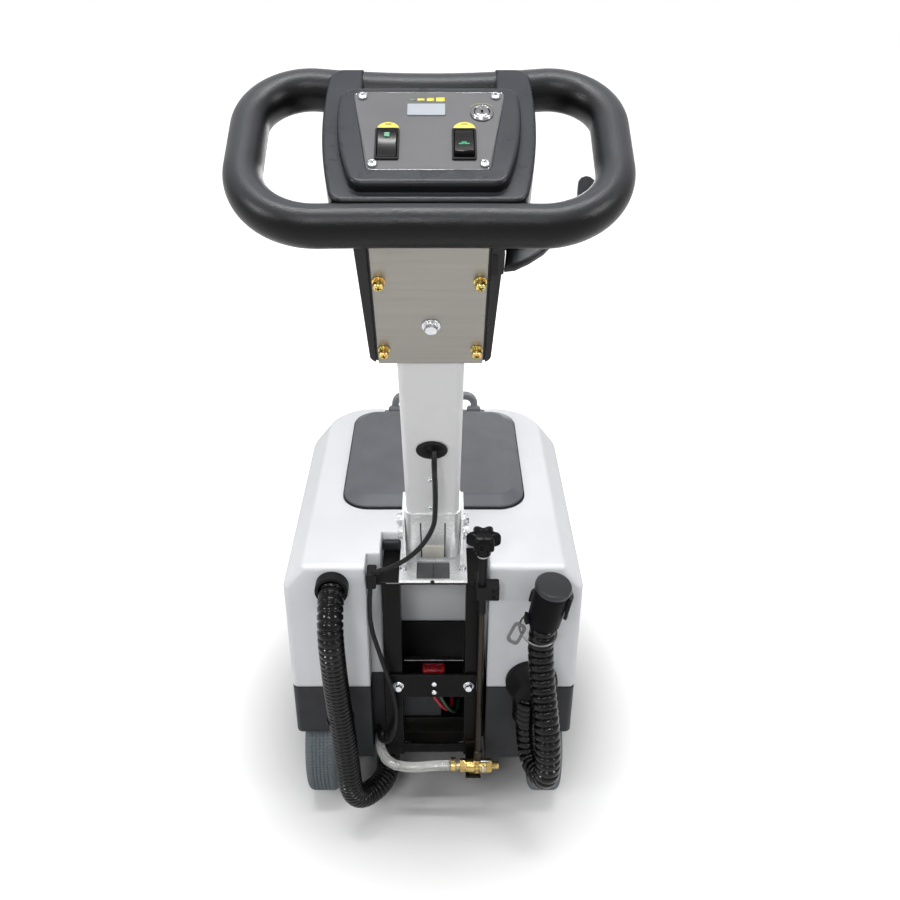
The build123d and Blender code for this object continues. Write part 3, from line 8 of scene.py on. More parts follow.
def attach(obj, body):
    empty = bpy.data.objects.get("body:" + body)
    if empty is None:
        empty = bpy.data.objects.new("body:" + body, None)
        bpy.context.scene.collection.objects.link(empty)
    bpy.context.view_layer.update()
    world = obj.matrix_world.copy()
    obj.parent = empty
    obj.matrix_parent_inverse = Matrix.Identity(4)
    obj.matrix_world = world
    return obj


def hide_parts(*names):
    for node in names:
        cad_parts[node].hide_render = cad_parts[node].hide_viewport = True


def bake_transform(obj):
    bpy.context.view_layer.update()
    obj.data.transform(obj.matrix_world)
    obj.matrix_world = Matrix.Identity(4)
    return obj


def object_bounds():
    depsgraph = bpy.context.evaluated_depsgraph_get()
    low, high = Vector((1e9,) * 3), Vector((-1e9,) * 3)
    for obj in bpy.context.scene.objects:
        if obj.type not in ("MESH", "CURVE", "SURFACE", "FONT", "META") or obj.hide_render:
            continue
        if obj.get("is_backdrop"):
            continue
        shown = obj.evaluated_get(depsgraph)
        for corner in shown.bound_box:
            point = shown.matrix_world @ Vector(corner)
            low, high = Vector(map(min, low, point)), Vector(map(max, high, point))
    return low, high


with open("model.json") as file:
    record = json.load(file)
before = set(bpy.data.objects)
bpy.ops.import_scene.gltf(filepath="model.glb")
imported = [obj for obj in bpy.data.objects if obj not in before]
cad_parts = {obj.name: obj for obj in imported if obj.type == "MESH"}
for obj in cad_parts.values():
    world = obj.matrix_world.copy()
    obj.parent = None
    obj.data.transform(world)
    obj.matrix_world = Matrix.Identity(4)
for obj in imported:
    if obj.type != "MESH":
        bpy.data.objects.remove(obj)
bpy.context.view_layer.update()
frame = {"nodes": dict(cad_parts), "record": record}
nodes = frame["nodes"]
scene = bpy.context.scene
random.seed(7)


def spun(degrees, axis):
    return Matrix.Rotation(math.radians(degrees), 4, axis)


# Shared places, in metres; the column's lean is in degrees
LEAN = 28.4
BACK = -0.111897606
PIVOT = Vector((0, BACK + 0.046, 0.528))
BRUSH_Y = BACK + 0.344
ROD = Vector((0.070, BACK - 0.025, 0))
WHEEL = Vector((0.183, BACK + 0.074, 0.096))
COLUMN = Matrix.Translation(PIVOT) @ spun(LEAN, "X")
TUBE_BACK = COLUMN @ Matrix.Translation((0, -0.020, 0)) @ spun(90, "X")
REAR = Matrix.Translation((0, BACK, 0)) @ spun(90, "X")
CUFF_AXIS = Vector((0.132, -0.135, 0.98)).normalized()
CUFF_FOOT = Vector((0.158, BACK - 0.040, 0.432))
CUFF = Matrix.Translation(CUFF_FOOT) @ CUFF_AXIS.to_track_quat("Z", "Y").to_matrix().to_4x4()


def on_column(x, forward, up):
    return COLUMN @ Vector((x, forward, up))


def behind(x, out, z):
    return Vector((x, BACK + out, z))


# Camera at the photograph's place: behind the machine, above the handle, looking down by 30 degrees
lens = bpy.data.cameras.new("camera")
lens.sensor_width = 36.0
lens.lens = 38.4
lens.shift_x = 0.0111
camera = bpy.data.objects.new("camera", lens)
camera.location = (0.010, BACK - 1.106, 1.330)
camera.rotation_euler = (math.radians(60), 0, 0)
scene.collection.objects.link(camera)
scene.camera = camera
scene.view_settings.view_transform = "Standard"


# Materials, each kept under its name
MAT = {}
DUST = (0.55, 0.55, 0.53)


class Nodes:
    """A node tree, with short calls to add and join nodes."""

    def __init__(self, owner):
        owner.use_nodes = True
        self.tree = owner.node_tree

    def add(self, kind, settings=None, **inputs):
        made = self.tree.nodes.new("ShaderNode" + kind)
        for key, value in (settings or {}).items():
            setattr(made, key, value)
        self.fill(made, inputs)
        return made

    def fill(self, node, inputs):
        for key, value in inputs.items():
            self.put(node.inputs[key.replace("_", " ")], value)

    def put(self, socket, value):
        if isinstance(value, bpy.types.NodeSocket):
            self.tree.links.new(value, socket)
        else:
            socket.default_value = value

    def mix(self, factor, low, high):
        made = self.add("Mix", {"data_type": "RGBA"})
        self.put(made.inputs[0], factor)
        self.put(made.inputs[6], low)
        self.put(made.inputs[7], high)
        return made.outputs[2]

    def join(self, operation, first, second, kind="Math"):
        """A number worked out from two values."""
        made = self.add(kind, {"operation": operation})
        self.put(made.inputs[0], first)
        self.put(made.inputs[1], second)
        return made.outputs["Value"]

    def ramp(self, value, low, high, out_low=0.0, out_high=1.0):
        made = self.add("MapRange", Value=value)
        for index, number in enumerate((low, high, out_low, out_high), start=1):
            made.inputs[index].default_value = number
        return made.outputs[0]

    def noise(self, scale, detail=3.0, stretch=(1, 1, 1)):
        place = self.add("TexCoord").outputs["Object"]
        if tuple(stretch) != (1, 1, 1):
            place = self.add("Mapping", Vector=place, Scale=stretch).outputs[0]
        return self.add("TexNoise", Vector=place, Scale=scale, Detail=detail).outputs[0]

    def bevel(self, radius):
        return self.add("Bevel", {"samples": 4}, Radius=radius).outputs[0]

    def seen(self):
        """1 for a ray that is seen, mirrored or passed through a clear piece, 0 for one that only lights."""
        rays = self.add("LightPath").outputs
        mirrored = self.join("MAXIMUM", rays["Is Camera Ray"], rays["Is Glossy Ray"])
        return self.join("MAXIMUM", mirrored, rays["Is Transmission Ray"])


class Material(Nodes):
    """A material's nodes around its shader."""

    def __init__(self, name):
        MAT[name] = bpy.data.materials.new(name)
        super().__init__(MAT[name])

    def shade(self, **inputs):
        self.fill(self.tree.nodes["Principled BSDF"], inputs)


def rgba(color, gain=1.0):
    return (*(min(1.0, channel * gain) for channel in color), 1.0)


def surface(
    name,
    color,
    rough=0.5,
    metal=0.0,
    vary=0.08,
    vary_scale=18.0,
    grain=0.0,
    grain_scale=700.0,
    edge=0.0012,
    edge_wear_and_highlight=None,
    stretch=(1, 1, 1),
    dust=0.0,
    top=None,
    shine=0.5,
):
    """A moulded, painted or metal surface: uneven colour and gloss, a fine grain and softened edges; upward
    faces may be painted lighter as a painted highlight from above, and edges lighter in patches, partly worn
    paint and partly a painted highlight.
    """
    made = Material(name)
    tone = made.ramp(made.noise(vary_scale, 5.0, stretch), 0.3, 0.7)
    base = made.mix(tone, rgba(color, 1 - vary), rgba(color, 1 + vary))
    normal = made.bevel(edge)
    # Edges lightened in noisy patches: partly worn paint, partly a painted highlight along the edges.
    if edge_wear_and_highlight:
        flat = made.add("NewGeometry").outputs["Normal"]
        rim = made.ramp(made.join("DOT_PRODUCT", flat, normal, "VectorMath"), 0.995, 0.93)
        patchy = made.ramp(made.noise(90.0, 4.0), 0.42, 0.62)
        base = made.mix(made.join("MULTIPLY", rim, patchy), base, rgba(edge_wear_and_highlight))
    if dust:
        film = made.ramp(made.noise(7.0, 6.0), 0.45, 0.75, 0.0, dust)
        base = made.mix(film, base, rgba(DUST))
    # Painted highlight: faces turned upward are mixed toward the lighter top colour, as if lit from above.
    if top:
        painted_top_light = made.add("SeparateXYZ", Vector=made.add("NewGeometry").outputs["Normal"]).outputs[2]
        base = made.mix(made.ramp(painted_top_light, 0.25, 0.95), base, rgba(top))
    cloud = made.noise(vary_scale * 2.3, 4.0, stretch)
    gloss = made.ramp(cloud, 0.3, 0.7, rough * 0.86, min(1.0, rough * 1.14))
    if grain:
        height = made.noise(grain_scale, 2.0, stretch)
        normal = made.add("Bump", Strength=grain, Distance=0.0004, Height=height, Normal=normal).outputs[0]
    made.shade(Base_Color=base, Roughness=gloss, Metallic=metal, Normal=normal, Specular_IOR_Level=shine)


def clear_plastic(name):
    """A milky clear hose."""
    made = Material(name)
    milk = made.noise(60.0, 4.0)
    made.shade(
        Base_Color=made.mix(milk, rgba((0.88, 0.89, 0.87)), rgba((0.95, 0.95, 0.93))),
        Roughness=made.ramp(milk, 0.3, 0.7, 0.08, 0.16),
        Transmission_Weight=0.75,
        IOR=1.42,
    )


def galvanised(name, color, metal, rough):
    """Zinc with its spangle: flat crystals of slightly different tone and gloss."""
    made = Material(name)
    place = made.add("TexCoord").outputs["Object"]
    crystal = made.add("TexVoronoi", Vector=place, Scale=420.0).outputs["Color"]
    tone = made.ramp(made.add("SeparateXYZ", Vector=crystal).outputs[0], 0.0, 1.0)
    made.shade(
        Base_Color=made.mix(tone, rgba(color, 0.88), rgba(color, 1.08)),
        Roughness=made.ramp(tone, 0.0, 1.0, rough * 1.25, rough * 0.8),
        Metallic=metal,
        Normal=made.bevel(0.0012),
    )


def yellow_zinc(name):
    """Yellow passivated screws: gold that drifts to olive green and to a coppery red."""
    made = Material(name)
    olive = made.ramp(made.noise(240.0, 2.0), 0.42, 0.6)
    gold = made.mix(olive, rgba((0.60, 0.42, 0.13)), rgba((0.30, 0.32, 0.10)))
    copper = made.ramp(made.noise(310.0, 2.0, (1.0, 1.3, 0.8)), 0.52, 0.68)
    made.shade(
        Base_Color=made.mix(copper, gold, rgba((0.55, 0.20, 0.09))),
        Roughness=made.ramp(made.noise(400.0), 0.3, 0.7, 0.2, 0.36),
        Metallic=1.0,
        Normal=made.bevel(0.0006),
    )


surface("hood", (0.80, 0.81, 0.84), 0.42, vary=0.015, grain=0.12, grain_scale=420, edge=0.006)
surface("base", (0.026, 0.027, 0.031), 0.5, grain=0.25, grain_scale=420, edge=0.004, shine=0.2)
surface("lid", (0.125, 0.131, 0.145), 0.45, grain=0.3, grain_scale=520, edge=0.004, shine=0.16)
surface("seal", (0.010, 0.010, 0.011), 0.6, grain=0.2, shine=0.15)
surface("grey_plastic", (0.16, 0.165, 0.175), 0.45, grain=0.2, edge=0.002)
# black_steel: its edges are painted lighter in patches, partly worn paint and partly a painted highlight.
surface("black_steel", (0.005, 0.0049, 0.0047), 0.32, grain=0.12, edge_wear_and_highlight=(0.06, 0.055, 0.05), shine=0.07)
surface("column_paint", (0.86, 0.862, 0.87), 0.4, vary=0.02, grain=0.08, edge=0.003)
# head_black: the top colour paints upward faces lighter, a painted highlight from the overhead light.
surface(
    "head_black",
    (0.007, 0.0073, 0.0084),
    0.3,
    grain=0.35,
    grain_scale=900,
    edge=0.002,
    top=(0.044, 0.046, 0.054),
    shine=0.16,
)
surface("plate", (0.24, 0.23, 0.208), 0.42, 0.85, vary=0.03, vary_scale=40, stretch=(0.15, 4, 4))
surface("steel", (0.50, 0.51, 0.53), 0.24, 1.0, vary=0.1, vary_scale=120)
# ring: the top colour paints upward faces lighter, a painted highlight from the overhead light.
surface("ring", (0.004, 0.0041, 0.0047), 0.34, grain=0.6, top=(0.060, 0.0615, 0.068), shine=0.15)
surface("panel", (0.133, 0.133, 0.138), 0.42, vary=0.05, grain=0.05, shine=0.16)
surface("display", (0.42, 0.45, 0.49), 0.2, vary=0.04, shine=0.2)
surface("chrome", (0.78, 0.78, 0.8), 0.09, 1.0, vary=0.05, edge=0.0006)
surface("rocker", (0.006, 0.006, 0.0065), 0.2, vary=0.1, edge=0.0008, shine=0.2)
surface("tyre", (0.13, 0.156, 0.172), 0.75, grain=0.5, grain_scale=350, edge=0.003, dust=0.15)
surface("hose", (0.0035, 0.0035, 0.004), 0.14, vary=0.15, shine=0.16)
surface("cable", (0.008, 0.008, 0.0085), 0.4, grain=0.2, shine=0.15)
surface("brass", (0.44, 0.32, 0.115), 0.22, 1.0, vary=0.15, vary_scale=90)
surface("bronze", (0.032, 0.026, 0.020), 0.3, 1.0, vary=0.25, vary_scale=60, stretch=(1, 1, 0.2))
surface("battery", (0.02, 0.02, 0.022), 0.5, grain=0.2, shine=0.2)
surface("red", (0.32, 0.010, 0.016), 0.3, vary=0.1)
surface("motor", (0.2, 0.2, 0.21), 0.45, 0.8, vary=0.15, grain=0.3)
surface("bristle", (0.03, 0.045, 0.10), 0.5, vary=0.3, vary_scale=300)
surface("blade", (0.012, 0.011, 0.010), 0.6, grain=0.2, shine=0.15)
surface("tank", (0.62, 0.64, 0.68), 0.5, vary=0.03)
surface("ivory", (0.78, 0.76, 0.67), 0.45, vary=0.05)
surface("washer", (0.74, 0.74, 0.73), 0.4, vary=0.03)
surface("yellow", (0.72, 0.63, 0.05), 0.4, vary=0.04)
surface("green", (0.02, 0.34, 0.13), 0.35, vary=0.1)
surface("dim_green", (0.10, 0.15, 0.10), 0.4, vary=0.1)
surface("ink", (0.03, 0.03, 0.03), 0.5, vary=0.1)
surface("dim_yellow", (0.17, 0.175, 0.085), 0.45, vary=0.1)
surface("rubber", (0.006, 0.006, 0.0065), 0.5, vary=0.1, grain=0.2, shine=0.12)
surface("knob", (0.006, 0.006, 0.0065), 0.28, vary=0.1, grain=0.15, shine=0.06)
surface("cuff", (0.006, 0.006, 0.007), 0.45, grain=0.15, grain_scale=300, shine=0.03)
surface("plug", (0.034, 0.0355, 0.040), 0.36, grain=0.15, grain_scale=300, shine=0.25)
surface("dull_steel", (0.13, 0.13, 0.134), 0.3, 1.0, vary=0.15, vary_scale=200)
surface("lock", (0.26, 0.26, 0.27), 0.16, 1.0, vary=0.08, edge=0.0006)
surface("hub", (0.10, 0.105, 0.115), 0.5, vary=0.08, grain=0.2)
surface("wire_red", (0.45, 0.02, 0.03), 0.35, vary=0.08)
surface("wire_green", (0.012, 0.05, 0.025), 0.35, vary=0.1)
clear_plastic("clear")
galvanised("zinc", (0.78, 0.79, 0.79), 0.6, 0.4)
yellow_zinc("screws")


def paint(item, material):
    item.data.materials.clear()
    item.data.materials.append(MAT[material])


for entry in frame["record"]["subparts"]:
    paint(nodes[entry["node"]], entry["material_slot"])
paint(nodes["switch_frames"], "seal")
for name in ("cable_clip", "rod_guide", "hose_fittings"):
    paint(nodes[name], "rubber")


# Making pieces
def piece(name, body, material, verts, faces, replaced=(), sharp=35.0):
    """A mesh piece that rides on a body, smooth up to an angle."""
    mesh = bpy.data.meshes.new(name)
    mesh.from_pydata([tuple(vert) for vert in verts], [], faces)
    mesh.validate()
    mesh.shade_smooth()
    mesh.set_sharp_from_angle(angle=math.radians(sharp))
    item = bpy.data.objects.new(name, mesh)
    scene.collection.objects.link(item)
    paint(item, material)
    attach(item, body)
    if replaced:
        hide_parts(*replaced)
    return item


def loop_faces(rows, count, closed=False):
    """Faces between rows of equally many points, each row a closed loop."""
    faces = []
    for row in range(rows if closed else rows - 1):
        after = (row + 1) % rows
        for i in range(count):
            j = (i + 1) % count
            faces.append((row * count + i, row * count + j, after * count + j, after * count + i))
    return faces


def capped(rows, count):
    """Faces between rows of points, and one over each end."""
    faces = loop_faces(rows, count)
    faces.append(tuple(reversed(range(count))))
    faces.append(tuple(range((rows - 1) * count, rows * count)))
    return faces


def ring(radius, height, count):
    """Points of a level circle about Z."""
    angles = [2 * math.pi * i / count for i in range(count)]
    return [(radius * math.cos(angle), radius * math.sin(angle), height) for angle in angles]


def around(middle, across, side, radius, count):
    """Points of a circle in the plane of two directions."""
    return [middle + across * x + side * y for x, y, _ in ring(radius, 0.0, count)]


def turned(profile, count=40):
    """Points and faces of a profile of (radius, height) turned about Z, closed at both ends."""
    verts = []
    for radius, height in profile:
        verts += ring(radius, height, count)
    return verts, capped(len(profile), count)


def opened(shape, ends=2):
    """A turned shape without both its ends, or only without the upper one."""
    verts, faces = shape
    return verts, faces[:-ends]


# Shapes in millimetres, gathered before they become a piece
MM = Matrix.Scale(0.001, 4)
ON_COLUMN = COLUMN @ MM
ON_TUBE = TUBE_BACK @ MM
ON_REAR = REAR @ MM
ON_CUFF = CUFF @ MM
QUARTERS = ((1, 1), (-1, 1), (-1, -1), (1, -1))


def at(place, x, y, z=0.0, spin=0.0):
    """A place moved by millimetres and turned about its own Z."""
    return place @ Matrix.Translation((x, y, z)) @ spun(spin, "Z")


def on_back(x, out, z=0.0, spin=0.0):
    """A place measured forward from the back of the body, in millimetres."""
    return at(MM, x, BACK * 1000 + out, z, spin)


def joined(parts):
    """Points and faces of several shapes, each given with its place."""
    verts = []
    faces = []
    for (points, sides), place in parts:
        first = len(verts)
        verts += [place @ Vector(point) for point in points]
        faces += [tuple(index + first for index in side) for side in sides]
    return verts, faces


def stacked(*layers):
    """Shapes set on each other, each given with its height."""
    return joined([(shape, Matrix.Translation((0, 0, height))) for height, shape in layers])


def fitted(name, body, material, slot, parts, *replaced, sharp=35.0):
    """A piece made of several shapes, with the nodes that it stands for."""
    item = piece(name, body, material, *joined(parts), replaced, sharp)
    return item


def circle(radius, count=32, start=0.0, turn=360.0):
    """Points round a circle, or along part of one with both its ends."""
    last = count if turn == 360.0 else count - 1
    angles = [math.radians(start + turn * i / last) for i in range(count)]
    return [(radius * math.cos(angle), radius * math.sin(angle)) for angle in angles]


def softened(corners, radius, steps=6):
    """An outline of four corners, the one at +X and +Y first, each a quarter of a circle."""
    points = []
    for quarter, (x, y) in enumerate(corners):
        side_x, side_y = QUARTERS[quarter]
        middle = Vector((x - side_x * radius, y - side_y * radius))
        for dx, dy in circle(radius, steps, 90.0 * quarter, 90.0):
            points.append((middle.x + dx, middle.y + dy))
    return points


def rounded(wide, long, corner, steps=6):
    """A rectangle with round corners about the middle."""
    return softened([(x * wide / 2, y * long / 2) for x, y in QUARTERS], corner, steps)


def inset(outline, depth):
    """An outline drawn in along its own normals."""
    drawn = []
    for i, point in enumerate(outline):
        before = Vector(point) - Vector(outline[i - 1])
        after = Vector(outline[(i + 1) % len(outline)]) - Vector(point)
        normal = before.normalized() + after.normalized()
        side = Vector((-normal.y, normal.x)).normalized()
        bend = max(0.35, side.dot(Vector((-before.y, before.x)).normalized()))
        drawn.append((point[0] + side.x * depth / bend, point[1] + side.y * depth / bend))
    return drawn


def prism(outline, low, high, soft=0.0, steps=3):
    """An outline raised between two heights, its upper and lower rims rounded."""
    rows = []
    if soft:
        for i in range(steps + 1):
            angle = math.pi / 2 * i / steps
            rows.append((soft * (1 - math.sin(angle)), low + soft * (1 - math.cos(angle))))
        rows += [(depth, low + high - height) for depth, height in reversed(rows)]
    else:
        rows = [(0.0, low), (0.0, high)]
    verts = []
    for depth, height in rows:
        drawn = inset(outline, depth) if depth else outline
        verts += [(x, y, height) for x, y in drawn]
    return verts, capped(len(rows), len(outline))


def solid_object(part):
    mesh = bpy.data.meshes.new("solid")
    mesh.from_pydata([tuple(vert) for vert in part[0]], [], part[1])
    item = bpy.data.objects.new("solid", mesh)
    scene.collection.objects.link(item)
    return item


def cut(part, tool):
    """A shape with another cut out of it."""
    base = solid_object(part)
    knife = solid_object(tool)
    step = base.modifiers.new("cut", "BOOLEAN")
    step.operation = "DIFFERENCE"
    step.object = knife
    made = base.evaluated_get(bpy.context.evaluated_depsgraph_get()).to_mesh()
    verts = [tuple(vert.co) for vert in made.vertices]
    faces = [tuple(face.vertices) for face in made.polygons]
    for item in (base, knife):
        bpy.data.objects.remove(item)
    return verts, faces


def dome(radius, high, flat=0.55, wall=0.42, steps=6):
    """A pan head: a short wall, then a round shoulder to a flat crown."""
    profile = [(radius * 0.96, 0.0), (radius, high * 0.12), (radius, high * wall)]
    for i in range(1, steps + 1):
        angle = math.pi / 2 * i / steps
        shrink = flat + (1 - flat) * math.cos(angle)
        profile.append((radius * shrink, high * (wall + (1 - wall) * math.sin(angle))))
    return turned(profile, 28)


def cross_head(radius, high):
    """A pan head with a cross recess."""
    head = dome(radius, high)
    blade = prism(rounded(radius * 1.15, radius * 0.26, radius * 0.08, 3), high * 0.45, high * 2)
    for spin in (0, 90):
        head = cut(head, joined([(blade, spun(spin, "Z"))]))
    return head


def washer(outer, inner, thick, count=32):
    """A flat washer with softened rims."""
    rim = min(0.3, thick / 3)
    profile = [
        (inner, 0.0),
        (outer - rim, 0.0),
        (outer, rim),
        (outer, thick - rim),
        (outer - rim, thick),
        (inner, thick),
    ]
    verts, _ = turned(profile, count)
    return verts, loop_faces(len(profile), count, True)


def hex_head(across, high, count=24):
    """A hexagon head with its chamfered crown."""
    radius = across / math.sqrt(3)
    rows = [(1.0, 0.0), (1.0, high * 0.78), (0.9, high)]
    verts = []
    for share, height in rows:
        for i in range(count):
            angle = 2 * math.pi * i / count
            wedge = math.pi / 6 - (angle % (math.pi / 3))
            flat = radius * math.cos(math.pi / 6) / math.cos(wedge)
            reach = flat if share == 1.0 else min(flat, radius * share)
            verts.append((reach * math.cos(angle), reach * math.sin(angle), height))
    return verts, capped(len(rows), count)


def lathe_x(profile, count=40):
    """A profile of (radius, x) turned about the X axis."""
    verts, faces = turned(profile, count)
    return [(z, x, y) for x, y, z in verts], faces


def wire(points, radius, count=10):
    """A closed wire bent along points."""
    spots = [Vector(point) for point in points]
    verts = []
    for i, spot in enumerate(spots):
        heading = (spots[(i + 1) % len(spots)] - spots[i - 1]).normalized()
        across = heading.orthogonal() if i == 0 else across - heading * across.dot(heading)
        across.normalize()
        verts += around(spot, across, heading.cross(across), radius, count)
    return verts, loop_faces(len(spots), count, True)


def band(inner, outer, start, turn, low, high, count=28):
    """Part of a ring, its lower and upper edges running evenly from one height to another."""
    verts = []
    for i in range(count):
        share = i / (count - 1)
        angle = math.radians(start + turn * share)
        bottom = low[0] + (low[1] - low[0]) * share
        top = high[0] + (high[1] - high[0]) * share
        for radius, height in ((inner, bottom), (outer, bottom), (outer, top), (inner, top)):
            verts.append((radius * math.cos(angle), radius * math.sin(angle), height))
    return verts, capped(count, 4)


# Cuff, plug and wire ring on the end of the drain hose
cuff_rows = [
    (19.4, 0.0),
    (23.0, 0.0),
    (23.8, 0.8),
    (24.0, 4.0),
    (24.3, 20.0),
    (24.9, 50.0),
    (25.2, 62.0),
    (25.0, 65.2),
    (24.2, 66.0),
    (20.2, 66.0),
    (20.1, 46.0),
    (14.0, 44.0),
]
cuff = opened(turned(cuff_rows, 56))
cuff_sleeve = fitted("cuff_sleeve", "chassis", "cuff", "hose", [(cuff, ON_CUFF)], "hose_cuff")
plug_rows = [
    (17.6, 46.6),
    (19.5, 48.0),
    (19.7, 64.0),
    (19.7, 66.3),
    (25.2, 66.4),
    (26.1, 67.4),
    (26.3, 70.0),
    (26.0, 73.0),
    (24.8, 75.0),
    (22.8, 75.8),
    (20.6, 75.6),
    (12.0, 76.1),
    (4.0, 76.3),
]
plug_cap = fitted("plug_cap", "plug", "plug", "hose", [(turned(plug_rows, 56), ON_CUFF)], "drain_plug")
RING_R = 0.027
RING_WIRE_R = 0.0015
ring_middle = CUFF_FOOT - CUFF_AXIS * 0.016 + Vector((-0.005, -0.002, 0))
ring_across = Vector((0.989, 0, -0.148))
ring_along = Vector((0, 0.953, 0.304))
hoop = wire(around(ring_middle, ring_across, ring_along, RING_R, 64), RING_WIRE_R)
LINK_T = 1.4
link_up = Vector((0.1, -0.85, 0.5)).normalized()
link_side = Vector((-0.5, -0.3, -0.8)).cross(link_up).normalized()
link_long = link_up.cross(link_side)
link_turn = Matrix((link_side, link_long, link_up)).transposed().to_4x4()
on_link = Matrix.Translation(ring_middle - RING_R * ring_across + 0.0095 * link_long) @ link_turn @ MM
link_outer = rounded(20.0, 32.0, 7.0, 9)
link_inner = rounded(11.0, 22.0, 4.0, 9)
link_verts = []
for side, outline in ((-1, link_inner), (-1, link_outer), (1, link_outer), (1, link_inner)):
    link_verts += [(x, y, side * LINK_T / 2) for x, y in outline]
link = (link_verts, loop_faces(4, len(link_outer), True))
ring_parts = [(hoop, Matrix()), (link, on_link)]
wire_ring = fitted("wire_ring", "chassis", "dull_steel", "chrome", ring_parts, "hose_ring")


# Cords and hoses
def route(name, points, radius=0.0):
    """A smooth open spline with the points as its control points."""
    curve = bpy.data.curves.new(name, "CURVE")
    curve.dimensions = "3D"
    spline = curve.splines.new("NURBS")
    spline.points.add(len(points) - 1)
    for control, point in zip(spline.points, points):
        control.co = (*point, 1.0)
    spline.order_u = 3
    spline.use_endpoint_u = True
    spline.resolution_u = 24
    curve.bevel_depth = radius
    curve.bevel_resolution = 6
    curve.use_fill_caps = True
    item = bpy.data.objects.new(name, curve)
    scene.collection.objects.link(item)
    return item


def centreline(name, points):
    """The points of the route's own smooth spline."""
    guide = route(name + "_guide", points)
    line = bpy.data.meshes.new_from_object(guide)
    path = [vert.co.copy() for vert in line.vertices]
    bpy.data.objects.remove(guide)
    return path


def along(path, distances):
    """Places and directions at distances along a path."""
    found = []
    run = 0.0
    index = 0
    for distance in distances:
        while index < len(path) - 2 and run + (path[index + 1] - path[index]).length < distance:
            run += (path[index + 1] - path[index]).length
            index += 1
        step = path[index + 1] - path[index]
        share = (distance - run) / step.length
        ahead = path[min(index + 2, len(path) - 1)] - path[index + 1]
        heading = step.normalized().lerp(ahead.normalized() if ahead.length else step.normalized(), share)
        found.append((path[index] + step * share, heading.normalized()))
    return found


def length_of(path):
    return sum((b - a).length for a, b in zip(path, path[1:]))


def tube(name, body, material, path, stations, count=32):
    """A closed tube of rings, each at a distance with a radius, along a path."""
    verts = []
    across = Vector((1, 0.01, 0.02))
    places = along(path, [distance for distance, _ in stations])
    for (centre, heading), (_, radius) in zip(places, stations):
        across = (across - heading * across.dot(heading)).normalized()
        verts += around(centre, across, heading.cross(across), radius, count)
    return piece(name, body, material, verts, capped(len(stations), count), sharp=70.0)


# Ribbed hoses: the radius over the ribs, the length over which a stretch ends, and one rib as shares of
# its pitch and height
HOSE_R = 0.019
HOSE_FADE = 0.05
RIB = [
    (0.0, 0.0),
    (0.08, 0.25),
    (0.16, 0.75),
    (0.24, 0.93),
    (0.37, 0.98),
    (0.5, 1.0),
    (0.63, 0.98),
    (0.76, 0.93),
    (0.84, 0.75),
    (0.92, 0.25),
]


def ribbed_hose(name, node, points, pitch, valley, stretched=(0.0, 1.0), **facts):
    """A hose of round ribs that stands for its CAD solid, its ribs drawn apart by a gain up to a reach."""
    path = centreline(name, points)
    length = length_of(path)
    reach, gain = stretched
    edges = [0.0]
    while edges[-1] < length - 0.6 * pitch:
        drawn = max(0.0, min(1.0, (reach - edges[-1]) / HOSE_FADE + 0.5))
        edges.append(edges[-1] + pitch * (1 + (gain - 1) * drawn))
    scale = length / edges[-1]
    stations = []
    for low, high in zip(edges, edges[1:]):
        for share, rise in RIB:
            distance = (low + (high - low) * share) * scale
            stations.append((distance, valley + (HOSE_R - valley) * rise))
    stations.append((length, valley))
    made = tube(name, "chassis", "hose", path, stations)
    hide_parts(node)


suction_points = [
    behind(-0.146, 0.018, 0.466),
    behind(-0.146, -0.064, 0.466),
    behind(-0.143, -0.062, 0.330),
    behind(-0.134, -0.062, 0.205),
    behind(-0.129, -0.066, 0.080),
    behind(-0.076, -0.014, 0.074),
    behind(-0.076, 0.034, 0.092),
    behind(-0.076, 0.086, 0.092),
]
drain_points = [
    behind(0.145, -0.023, 0.275),
    behind(0.145, -0.023, 0.158),
    behind(0.172, -0.100, 0.158),
    behind(0.170, -0.095, 0.252),
    behind(0.158, -0.056, 0.345),
    CUFF_FOOT - CUFF_AXIS * 0.025,
    CUFF_FOOT + CUFF_AXIS * 0.030,
]
clear_points = [
    Vector((0.041, ROD.y, 0.122)),
    Vector((0.002, ROD.y, 0.122)),
    behind(-0.034, -0.025, 0.115),
    behind(-0.072, -0.022, 0.121),
    behind(-0.089, 0.002, 0.135),
    behind(-0.089, 0.029, 0.135),
]
cable_points = [
    on_column(0.003, -0.021, 0.257),
    on_column(0.003, -0.044, 0.248),
    on_column(0.004, -0.036, 0.198),
    on_column(0.004, -0.034, 0.138),
    on_column(0.002, -0.038, 0.084),
    behind(-0.022, -0.020, 0.538),
    behind(-0.058, -0.016, 0.508),
    behind(-0.087, -0.009, 0.496),
    behind(-0.092, -0.013, 0.455),
    behind(-0.093, -0.016, 0.405),
    behind(-0.079, -0.017, 0.345),
    behind(-0.061, -0.018, 0.272),
    behind(-0.056, -0.017, 0.212),
    behind(-0.070, -0.015, 0.160),
    behind(-0.090, 0.002, 0.150),
    behind(-0.090, 0.032, 0.150),
]

